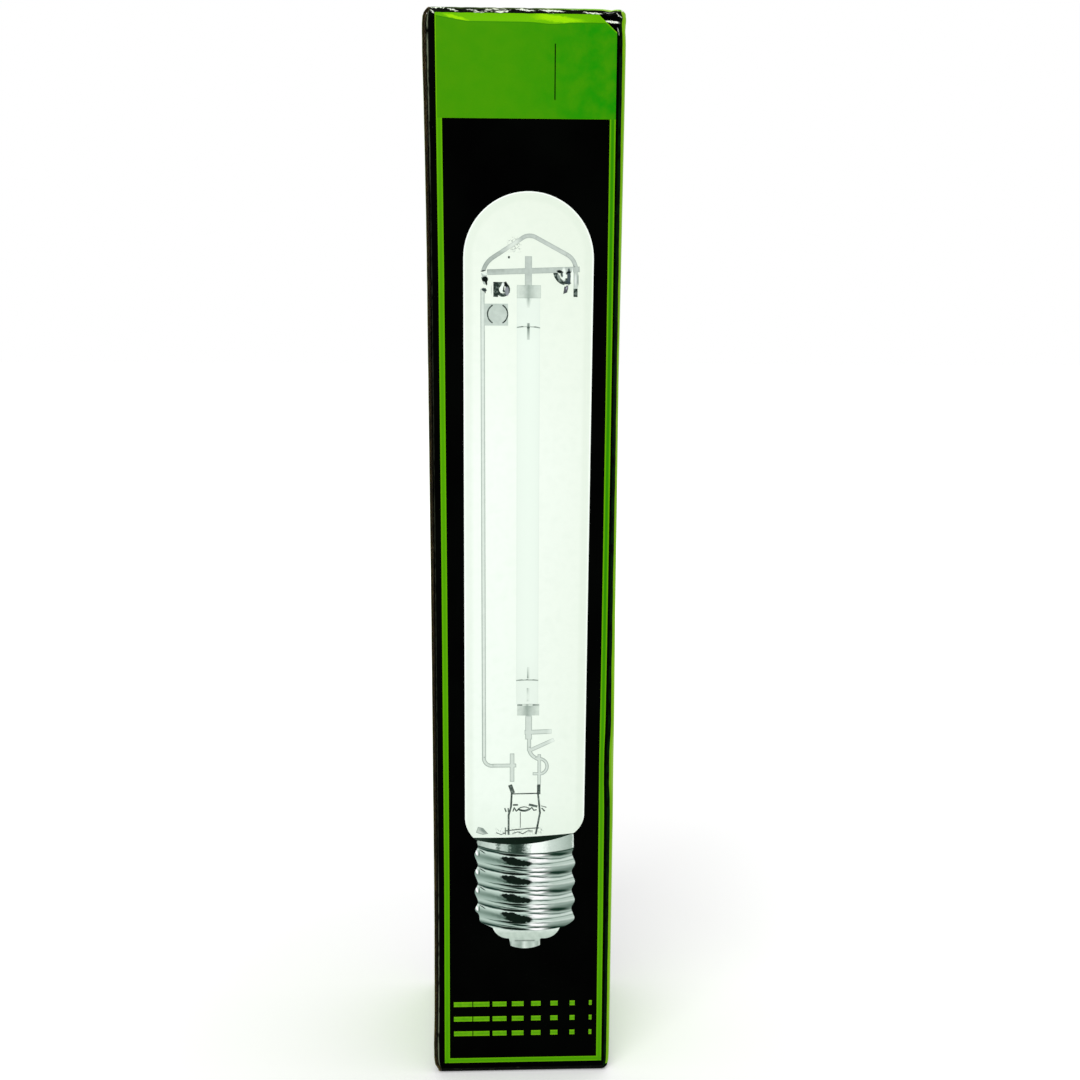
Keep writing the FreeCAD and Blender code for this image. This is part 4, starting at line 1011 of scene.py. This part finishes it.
def scuffed(place):
    """How rubbed a place on the perfect carton is, from 0 to 1: folds most, corners round about."""
    x, y, z = place
    ends = min(abs(z), abs(height - z))
    sides = min(abs(x - left), abs(x - right), abs(x - panel_left) if y < 0 else 99)
    faces = min(abs(y - front), abs(y - back))
    upright_fold = 0.42 * math.exp(-((max(sides, faces) / 0.9) ** 2))
    end_fold = (0.9 if z > 100 else 0.45) * math.exp(-((max(ends, min(sides, faces)) / 0.9) ** 2))
    corner = (0.6 if z > 100 else 0.45) * math.exp(-((math.hypot(ends, max(sides, faces)) / 4.0) ** 2))
    crushed = 0.3 * ease(17, 24, x) * ease(301.8, 304.8, z) * ease(-24, -26, y)
    return min(1.0, max(upright_fold, end_fold, corner, crushed))


print("rubbed at the upper right corner:", round(scuffed((right, front, height)), 2), "of 1")

# %% [markdown]
# ## Working with folded sheets
# Board is modelled as one layer of faces, its printed outside, because a cut, a fold or a print border is
# easy to make there. Straight cuts come from bisecting, folds from bevelling an edge or spinning a border,
# and Blender's solidify gives the layer its thickness last. A bevel's profile of 0.5 is a true arc.
# Each vertex remembers its place on the perfect carton in the attribute "flat", and how rubbed it is in
# "wear". The finishes read both, so a scuff or a border of the print stays where it belongs.

# %% Cuts


def loose_parts(faces):
    """The faces with their edges and vertices, as the mesh operators want them."""
    return list({*faces, *(e for f in faces for e in f.edges), *(v for f in faces for v in f.verts)})


def picked(bm, pick):
    """The faces whose middle the test picks."""
    return [f for f in bm.faces if pick(f.calc_center_median())]


def cut(bm, axis, places, pick=lambda middle: True):
    """Cuts the picked faces along planes across one axis."""
    normal = Vector([float(k == axis) for k in range(3)])
    for place in places:
        bmesh.ops.bisect_plane(bm, geom=loose_parts(picked(bm, pick)), plane_co=normal * place,
                               plane_no=normal, dist=1e-4)


def trim(bm, point, direction, pick):
    """Cuts away the part of the picked faces that lies beyond a point, in the direction."""
    bmesh.ops.bisect_plane(bm, geom=loose_parts(picked(bm, pick)), plane_co=Vector(point),
                           plane_no=Vector(direction), dist=1e-4, clear_outer=True)


def round_off(bm, centre, radius, quarter, pick):
    """Rounds a corner in the plane of two axes with five tangent cuts."""
    for k in range(5):
        angle = math.radians(9 + 18 * k)
        direction = Vector(quarter[0]) * math.cos(angle) + Vector(quarter[1]) * math.sin(angle)
        trim(bm, Vector(centre) + direction * radius, direction, pick)


def remove(bm, pick):
    """Removes the picked faces."""
    bmesh.ops.delete(bm, geom=picked(bm, pick), context="FACES")


print("cuts:", [f.__name__ for f in (cut, trim, round_off, remove)])

# %% Folds


def steps(low, high, count):
    """Evenly spaced places between two ends, without the ends."""
    return [low + (high - low) * k / count for k in range(1, count)]


def border(bm, test):
    """The open edges whose two ends both pass the test."""
    return [e for e in bm.edges if e.is_boundary and all(test(v.co) for v in e.verts)]


def pulled(bm, edges, shift):
    """Pulls new faces out of open edges, and gives the edges at their far side."""
    out = bmesh.ops.extrude_edge_only(bm, edges=edges)["geom"]
    bmesh.ops.translate(bm, verts=[g for g in out if isinstance(g, bmesh.types.BMVert)], vec=Vector(shift))
    return [g for g in out if isinstance(g, bmesh.types.BMEdge)]


def turned(bm, edges, centre, axis, degrees, count):
    """Rolls new faces out of open edges round an axis, and gives the edges at their far side."""
    out = bmesh.ops.spin(bm, geom=list({*edges, *(v for e in edges for v in e.verts)}), cent=Vector(centre),
                         axis=Vector(axis), angle=math.radians(degrees), steps=count)["geom_last"]
    return [g for g in out if isinstance(g, bmesh.types.BMEdge)]


print("folds:", [f.__name__ for f in (border, pulled, turned)])

# %% Thickness and open edges
OUTSIDE, INSIDE, RIM, CHANNEL = range(4)        # material places of a sheet of board


def thicken(bm, thickness):
    """Gives a layer its thickness, inwards from its printed faces."""
    outside = list(bm.faces)
    bmesh.ops.remove_doubles(bm, verts=bm.verts, dist=1e-4)
    outside = [f for f in outside if f.is_valid]
    made = bmesh.ops.solidify(bm, geom=outside, thickness=thickness)["geom"]
    inside = [g for g in made if isinstance(g, bmesh.types.BMFace)]
    for face in bm.faces:
        face.material_index = RIM
    for face in inside:
        face.material_index = INSIDE
    for face in outside:
        face.material_index = OUTSIDE


def open_channel(bm, pick, liner, depth):
    """Sinks a cut edge between the two liners of the board, where the flutes show."""
    rims = [f for f in picked(bm, pick) if f.material_index == RIM]
    bmesh.ops.inset_region(bm, faces=rims, thickness=liner, depth=-depth, use_boundary=True,
                           use_even_offset=True)
    for face in rims:
        face.material_index = CHANNEL


print("a sheet has", CHANNEL + 1, "material places")

# %% Finished pieces


def finished(bm, name, materials, body, slot, angle=32):
    """Wears a modelled piece, turns it to metres and makes it an object that rides on a body."""
    perfect = [v.co.copy() for v in bm.verts]
    for vert, place in zip(bm.verts, perfect):
        vert.co = worn(place) * MM
    for face in bm.faces:
        face.smooth = True
    mesh = bpy.data.meshes.new(name)
    bm.to_mesh(mesh)
    bm.free()
    mesh.attributes.new("flat", "FLOAT_VECTOR", "POINT")
    mesh.attributes.new("wear", "FLOAT", "POINT")
    mesh.attributes["flat"].data.foreach_set("vector", [part for place in perfect for part in place])
    mesh.attributes["wear"].data.foreach_set("value", [scuffed(place) for place in perfect])
    mesh.set_sharp_from_angle(angle=math.radians(angle))
    for material in materials:
        mesh.materials.append(material)
    piece = bpy.data.objects.new(name, mesh)
    bpy.context.scene.collection.objects.link(piece)
    if body:
        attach(piece, body)
    print(name, len(mesh.polygons), "faces")
    return piece


print("pieces are worn with", finished.__name__)

# %% [markdown]
# ## The sleeve
# The sleeve is the folded sheet itself: four walls, the glue tab inside the front left seam, and four dust
# flaps. It starts as a line that runs once round the carton's plan, from the cut edge beside the front to
# the glue tab. Pulled up, it becomes the walls, and its four corners are bevelled into folds. Cuts along the
# print's borders come next, so that each printed field is a set of whole faces that the film can copy.

# %% Sleeve walls
rule_left, rule_width = frame_high - 16.45, 0.3
rule_top, rule_foot = header_top - 7.4, header_top - 21.6
tab_back = front + 14.0
flap_front, flap_back = hinge_y + 2.0, 24.25

sleeve = bmesh.new()
plan = ((left, raw_edge_y), (left, back), (right, back), (right, front), (panel_left, front),
        (panel_left, tab_back))
corners = [sleeve.verts.new((x, y, foot)) for x, y in plan]
pulled(sleeve, [sleeve.edges.new(pair) for pair in zip(corners, corners[1:])], (0, 0, height - foot))
folds = [e for e in sleeve.edges if len(e.link_faces) == 2]
bmesh.ops.bevel(sleeve, geom=folds, offset=fold, segments=6, profile=0.5, affect="EDGES", material=-1)


def on_front(middle):
    """Whether a place is on the front panel."""
    return middle.y < front + 0.01


cut(sleeve, 0, [frame_low, frame_low + line, frame_high - line, frame_high], on_front)
cut(sleeve, 0, [rule_left, rule_left + rule_width], on_front)
cut(sleeve, 0, steps(frame_low + line, frame_high - line, 12))
cut(sleeve, 1, [flap_front, flap_back, *steps(flap_front, flap_back, 8)])
cut(sleeve, 1, [hinge_y], lambda middle: middle.x < left + 0.01)
levels = [header_foot, frame_foot + line, frame_foot, rule_top, rule_foot, hinge_z, height - hinge_z]
levels += [side_top, height - side_top, flap_top, height - flap_top, header_top]
levels += steps(frame_foot + line, header_foot, 56) + steps(header_foot, 301, 5) + steps(301, header_top, 9)
levels += [301, 0.5, 1.7, 2.6, 4.0]
cut(sleeve, 2, levels)
cut(sleeve, 0, steps(-26, 26, 45), lambda middle: on_front(middle) and middle.z > 301)
torn_corner = [m for m in picked(sleeve, on_front) if m.calc_center_median().z > header_top - chamfer_z]
bmesh.ops.bisect_plane(sleeve, geom=loose_parts(torn_corner), dist=1e-4,
                       plane_co=(frame_high, front, header_top - chamfer_z),
                       plane_no=(chamfer_z, 0, chamfer_x))
print("walls:", len(sleeve.faces), "faces")

# %% [markdown]
# ## Dust flaps and ends
# The walls end at different heights. The front ends where its fold rolls over, the sides where the dust
# flaps fold in, and the back is the full height. A flap could be a plate laid in place, but on the real
# carton it is the side itself, folded. So the side's open edge is rolled through a quarter turn, pulled out
# and trimmed. The same function does the top and, mirrored, the foot.

# %% Sleeve ends
FLAP_LENGTH = 20.0


def at_end(top, z):
    """A level given for the top, at the top or mirrored at the foot."""
    return z if top else height - z


def finish_end(bm, top):
    """Rolls the front over, folds the dust flaps in and trims the glue tab, at one end."""
    up = 1 if top else -1

    def beyond(middle, level):
        return (middle.z - at_end(top, level)) * up > 0

    def on_seam(m):
        return m.x < left + 0.01 and m.y < hinge_y

    def on_tab(m):
        return abs(m.x - panel_left) < 0.01 and m.y > hinge_y

    remove(bm, lambda m: m.y < 25.5 and beyond(m, hinge_z) and not on_seam(m))
    round_off(bm, (0, hinge_y, at_end(top, hinge_z)), fold, ((0, -1, 0), (0, 0, up)), on_seam)
    remove(bm, lambda m: hinge_y < m.y < 25.5 and beyond(m, side_top))
    trim(bm, (0, hinge_y, at_end(top, height - 7)), (0, 6, 12.9 * up), on_tab)

    rolled = border(bm, lambda p: abs(p.z - at_end(top, hinge_z)) < 1e-3 and p.y < hinge_y + 1e-3
                    and p.x > panel_left - 1e-3)
    turned(bm, rolled, (0, hinge_y, at_end(top, hinge_z)), (-up, 0, 0), 160, 9)
    for side in (-1, 1):
        wall_x = right if side > 0 else left
        root = wall_x - side * fold
        tip = root - side * FLAP_LENGTH

        def on_flap(m):
            return abs(m.z - at_end(top, flap_top)) < 1e-3 and side * (root - m.x) > 0

        fold_line = border(bm, lambda p: abs(p.x - wall_x) < 1e-3
                           and flap_front - 1e-3 < p.y < flap_back + 1e-3
                           and abs(p.z - at_end(top, side_top)) < 1e-3)
        rim = turned(bm, fold_line, (root, 0, at_end(top, side_top)), (0, -side * up, 0), 90, 6)
        pulled(bm, rim, (-side * FLAP_LENGTH, 0, 0))
        cut(bm, 0, [root - side * 7] + steps(root, tip, 4), on_flap)
        trim(bm, (root, flap_front, 0), (-side * 3, -20, 0), on_flap)
        trim(bm, (root - side * 7, flap_back, 0), (-side * 8, 13, 0), on_flap)
        for y, outwards in ((flap_front + 6.1, -1), (flap_back - 11.6, 1)):
            round_off(bm, (tip + side * 3, y, 0), 3, ((-side, 0, 0), (0, outwards, 0)), on_flap)


finish_end(sleeve, True)
finish_end(sleeve, False)
print("sleeve:", len(sleeve.faces), "faces in one layer")

# %% [markdown]
# ## Printed film
# The green header and frame are printed under the same film as the black. As in the CAD model, each field is
# a thin sheet of its own. It copies the sleeve's faces inside its borders, lies 0.02 mm above them and is
# 0.03 mm thick. Made from the same faces, it follows every fold, dent and bruise below it.

# %% Film
FILM_GAP, FILM_THICKNESS = 0.02, 0.03


def film(source, name, pick, material, body, slot, *nodes):
    """A thin printed film over the picked faces of a layer."""
    bm = source.copy()
    remove(bm, lambda middle: not pick(middle))
    bmesh.ops.delete(bm, geom=[v for v in bm.verts if not v.link_faces], context="VERTS")
    bm.normal_update()
    for vert in bm.verts:
        vert.co += vert.normal * (FILM_GAP + FILM_THICKNESS)
    thicken(bm, FILM_THICKNESS)
    for face in bm.faces:
        face.material_index = 0
    piece = finished(bm, name, [material], body, slot)
    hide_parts(*nodes)
    return piece


def in_frame(m):
    """Whether a place on the front is printed green."""
    around = frame_low < m.x < frame_high and frame_foot < m.z < header_top and m.y < front + 0.01
    window = frame_low + line < m.x < frame_high - line and frame_foot + line < m.z < header_foot
    rule = rule_left < m.x < rule_left + rule_width and rule_foot < m.z < rule_top
    torn = (m.x - frame_high) / chamfer_x + (m.z - header_top) / chamfer_z > -1
    return around and not window and not rule and not torn


def on_right_side(m):
    """Whether a place on the right wall or its front fold is under the side's film."""
    wall = m.x > right - 0.01 and m.y < back - fold and m.z < side_top
    turn = m.x > right - fold and m.y < hinge_y
    return (wall or turn) and m.z > height - side_top


def on_left_side(m):
    """Whether a place on the left wall is under the side's film."""
    return m.x < left + 0.01 and m.y < back - fold and height - side_top < m.z < side_top


film(sleeve, "green_film", in_frame, green_film, "carton", "green_ink", "green_print")
film(sleeve, "right_side_film", on_right_side, side_film, "carton", "side_green_ink", "right_side_print")
film(sleeve, "left_side_film", on_left_side, side_film, "carton", "side_green_ink", "left_side_print")

# %% [markdown]
# ## Board and open edges
# Now the sleeve gets its thickness. Its cut edges show what the board is: two liners with a wavy paper
# between them. The cut edge beside the front and the two ends of the back panel are sunk between the
# liners, which leaves channels for the flutes.

# %% Sleeve board and its open edges
thicken(sleeve, board)
liner, channel_depth = 0.14, 0.6
open_channel(sleeve, lambda m: abs(m.y - raw_edge_y) < 0.05 and m.x < left + board, liner, channel_depth)
for edge_z in (foot, height):
    open_channel(sleeve, lambda m: abs(m.z - edge_z) < 0.02 and m.y > back - board and abs(m.x) < 25.8,
                 liner, channel_depth)
# The sunk channels take the dark fluting paper's finish, painted shade in the gap between the liners.
BOARD_SKINS = [black_film, kraft_liner, cut_liner, painted_shade_flute_paper]
carton_sleeve = finished(sleeve, "carton_sleeve", BOARD_SKINS, "carton", "black_printed_board")
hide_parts("carton_body")

# %% [markdown]
# ## Flutes
# The wavy paper inside the board is visible only at cut edges. Bump in the finish would look painted on
# there, and a whole sheet of flutes would be mostly hidden. So a narrow grid is laid along each channel,
# with eight faces to a wave, swung from liner to liner and given the paper's thickness.

# %% Flutes
FLUTE_SWING, FLUTE_PAPER = 0.2, 0.1      # of micro-flute board, in millimetres


def flutes(name, body, runs):
    """Wavy strips in the channels. A run is its start, its length vector, and the ways across and in."""
    bm = bmesh.new()
    for start, run, across, inwards in runs:
        run, across, inwards = Vector(run), Vector(across), Vector(inwards)
        waves = run.length / flute_pitch
        strip = bmesh.ops.create_grid(bm, x_segments=round(waves * 8), y_segments=1, size=0.5)["verts"]
        for vert in strip:
            along, down = vert.co.x + 0.5, vert.co.y + 0.5
            swing = FLUTE_SWING * math.sin(2 * math.pi * waves * along)
            vert.co = Vector(start) + run * along + across * swing + inwards * (0.04 + 0.5 * down)
    bmesh.ops.solidify(bm, geom=list(bm.faces), thickness=FLUTE_PAPER)
    return finished(bm, name, [painted_shade_flute_paper], body, "black_printed_board")


middle_of_board = back - board / 2
flutes("carton_flutes", "carton", [
    ((left + board / 2, raw_edge_y, height - side_top), (0, 0, 2 * side_top - height),
     (1, 0, 0), (0, 1, 0)),
    ((-25.7, middle_of_board, height), (51.4, 0, 0), (0, 1, 0), (0, 0, -1)),
    ((-25.7, middle_of_board, foot), (51.4, 0, 0), (0, 1, 0), (0, 0, 1))])

# %% [markdown]
# ## Lids
# Each lid is a cover panel and a tuck flap that is bowed round the hinge, so that it slides in without
# touching the back panel. It starts as one edge at its root, pulled back into the cover, and its far edge is
# spun round the hinge into the tuck flap. The corner between them is bevelled, and slits are cut at both ends
# of it. The lower lid is the upper one, mirrored. The root is cut at a slope, which leaves room for the
# front's rolled fold.

# %% Measures of the lids
lid_half, tuck_half = right - 0.3, right - 1.6
tuck_radius = back - board - 0.35 - hinge_y
tuck_swing = 15 / tuck_radius                       # angle of the 15 mm long tuck flap, seen from the hinge
root_y, root_inner_y = hinge_y + 0.784, hinge_y + 1.14
rear_y = hinge_y + math.sqrt(tuck_radius ** 2 - fold ** 2)
turn_y = hinge_y + tuck_radius - fold
tuck_tip = hinge_z - tuck_radius * math.sin(tuck_swing)
print("the tuck flap is bowed at a radius of", round(tuck_radius, 2), "mm")

# %% Lids


def lid_layer():
    """The outer faces of the upper lid."""
    bm = bmesh.new()
    start = bm.edges.new([bm.verts.new((x, root_y, height)) for x in (-lid_half, lid_half)])
    rear = pulled(bm, [start], (0, rear_y - root_y, 0))
    sweep = math.degrees(math.asin(fold / tuck_radius) + tuck_swing)
    turned(bm, rear, (0, hinge_y, hinge_z), (-1, 0, 0), sweep, 10)
    bmesh.ops.bevel(bm, geom=rear, offset=fold, segments=6, profile=0.5, affect="EDGES", material=-1)
    if max(f.normal.z for f in bm.faces) < 0.5:
        bmesh.ops.reverse_faces(bm, faces=bm.faces)
    edges = [tuck_half, tuck_half - 6, lid_half - 0.35, lid_half - 0.8]
    cut(bm, 0, [side * x for x in edges for side in (-1, 1)] + steps(-19.3, 19.3, 12))
    cut(bm, 1, [turn_y - 0.5, turn_y, root_y + 0.4, root_y + 1.0] + steps(root_y, turn_y, 12))
    remove(bm, lambda m: abs(m.x) > tuck_half - 6 and turn_y - 0.5 < m.y < turn_y and m.z > height - 0.01)
    remove(bm, lambda m: abs(m.x) > tuck_half and m.y > turn_y - 0.5)
    for side in (-1, 1):
        round_off(bm, (side * (tuck_half - 8), 0, tuck_tip + 8), 8, ((side, 0, 0), (0, 0, -1)),
                  lambda m: m.z < height - 2)
    return bm


def lid(name, body, top):
    """One lid of board, with open flutes at its side edges."""
    bm = lid_layer()
    thicken(bm, board)
    for vert in bm.verts:
        if abs(vert.co.y - root_y) < 0.01 and vert.co.z < height - board / 2:
            vert.co.y = root_inner_y
    open_channel(bm, lambda m: abs(abs(m.x) - lid_half) < 0.02, liner, channel_depth)
    if not top:
        bmesh.ops.transform(bm, matrix=Matrix.Translation((0, 0, height)) @ Matrix.Scale(-1, 4, (0, 0, 1)),
                            verts=bm.verts)
        bmesh.ops.reverse_faces(bm, faces=bm.faces)
    piece = finished(bm, name + "_board", [lid_film, kraft_liner, cut_liner, painted_shade_flute_paper], body,
                     "green_printed_board")
    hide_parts(name)
    level = at_end(top, height - board / 2)
    flutes(name + "_flutes", body, [
        ((side * lid_half, root_inner_y + 0.2, level), (0, turn_y - root_inner_y - 0.9, 0),
         (0, 0, 1), (-side, 0, 0)) for side in (-1, 1)])
    return piece


lid("top_lid", "upper_lid", True)
lid("bottom_lid", "lower_lid", False)

# %% [markdown]
# ## Skins of the front folds
# On the real carton the printed film runs on over the fold from the front to the lid. The CAD model parts
# there, so that the lid can turn. A thin skin bridges the gap.

# %% Fold skins
SKIN_GAP, SKIN_THICKNESS = 0.07, 0.05
SKIN_START = 0.28           # how far below the hinge it begins
SKIN_ON_LID = 1.3           # how far it runs back over the lid


def fold_skin(name, top):
    """A strip of film over a front fold."""
    up = 1 if top else -1
    bm = bmesh.new()
    z = at_end(top, hinge_z)
    start = bm.edges.new([bm.verts.new((x, hinge_y - fold - SKIN_GAP, z - SKIN_START * up))
                          for x in (panel_left + fold, right - fold)])
    rolled = turned(bm, pulled(bm, [start], (0, 0, SKIN_START * up)), (0, hinge_y, z), (-up, 0, 0), 90, 8)
    pulled(bm, rolled, (0, SKIN_ON_LID, 0))
    if min(f.normal.y for f in bm.faces) > -0.5:
        bmesh.ops.reverse_faces(bm, faces=bm.faces)
    cut(bm, 0, steps(-25, 26, 100))
    cut(bm, 1, [hinge_y + 0.4, hinge_y + 0.8])
    thicken(bm, SKIN_THICKNESS)
    for face in bm.faces:
        face.material_index = 0
    piece = finished(bm, name, [fold_film], None, "black_printed_board")
    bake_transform(piece)


fold_skin("top_fold_skin", True)
fold_skin("bottom_fold_skin", False)

# %% [markdown]
# ## The pictured lamp
# The lamp on the front is a picture, so its parts stay flat fields of ink, as the CAD model has them. Two
# fields are drawn finer here, and start as copies of the CAD model's meshes. Those are loose triangles, so
# doubled vertices are merged and flat areas are dissolved into single faces first.

# %% Copies of printed fields


def picture_mesh(node):
    """A printed field of the CAD model as a clean mesh, without its triangles."""
    bm = bmesh.new()
    bm.from_mesh(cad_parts[node].data)
    bmesh.ops.remove_doubles(bm, verts=bm.verts, dist=1e-6)
    bmesh.ops.dissolve_limit(bm, angle_limit=math.radians(2), verts=bm.verts, edges=bm.edges)
    return bm


def picture(bm, name, materials, slot, *nodes):
    """Makes the picture's field an object that rides on the carton in place of CAD nodes."""
    mesh = bpy.data.meshes.new(name)
    bm.to_mesh(mesh)
    bm.free()
    for material in materials:
        mesh.materials.append(material)
    piece = bpy.data.objects.new(name, mesh)
    bpy.context.scene.collection.objects.link(piece)
    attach(piece, "carton")
    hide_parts(*nodes)
    print(name, len(mesh.polygons), "faces")


print("copies:", [f.__name__ for f in (picture_mesh, picture)])

# %% [markdown]
# ## Cap of the picture
# The CAD shows the cap as silver with dark and bright streaks. Its outline is copied with the dark crescent
# above it, and the streaks are dropped, because the thread's finish draws softer ones. The outline's crests
# and grooves have sharp corners in the CAD, and a rolled thread has none, so they are bevelled.

# %% Cap of the picture
CORNER_ANGLE = 0.5          # sharper corners than this, in radians, are rounded
CORNER_OFFSET = 0.7
SHELL_FOOT = 48             # height of the shell's lower edge, which stays as it is

cap = picture_mesh("cap_dark_print")
streaks = [f for f in cap.faces if min(v.co.z for v in f.verts) < (NECK - 2.5) * MM]
bmesh.ops.delete(cap, geom=streaks, context="FACES")
for face in cap.faces:
    face.material_index = 1
crescent = len(cap.faces)
shell = picture_mesh("cap_print")
corners = [e for e in shell.edges if abs(e.verts[0].co.y - e.verts[1].co.y) > 0.02 * MM and e.is_manifold
           and e.calc_face_angle() > CORNER_ANGLE and min(v.co.z for v in e.verts) > SHELL_FOOT * MM]
bmesh.ops.bevel(shell, geom=corners, offset=CORNER_OFFSET * MM, segments=4, profile=0.5, affect="EDGES",
                material=-1)
shell_mesh = bpy.data.meshes.new("cap_shell")
shell.to_mesh(shell_mesh)
shell.free()
cap.from_mesh(shell_mesh)
cap.faces.ensure_lookup_table()
for face in cap.faces[crescent:]:
    face.material_index = 0
picture(cap, "cap_picture", [printed_thread, cap_shadow], "silver_ink",
        "cap_print", "cap_dark_print", "cap_bright_print")

# %% [markdown]
# ## Wires of the picture
# The wires are round, and print shows that as a paler middle between darker sides. An inset of each wire's
# front gives both as faces of their own. The flat plates keep one tone.

# %% Wires of the picture
WIRE_SIDE = 0.26            # width of a wire's darker side
wires = picture_mesh("lamp_wire_print")


def on_wire(face):
    """Whether a face is the front of a round wire, and not a flat plate."""
    m = face.calc_center_median() / MM
    plate = abs(m.x - LAMP_X) < 3.7 and (233 < m.z < 237.5 or 114 < m.z < 118.3)
    getter = m.x < -3.5 and 225 < m.z < 233.5
    return face.normal.y < -0.9 and not plate and not getter


for face in wires.faces:
    face.material_index = 0
fronts = [f for f in wires.faces if on_wire(f)]
for face in fronts:
    face.material_index = 1
bmesh.ops.inset_region(wires, faces=fronts, thickness=WIRE_SIDE * MM, use_boundary=True,
                       use_even_offset=False)
for face in fronts:
    face.material_index = 2
picture(wires, "wire_picture", [printed_wire, wire_side, wire_middle], "grey_ink", "lamp_wire_print")
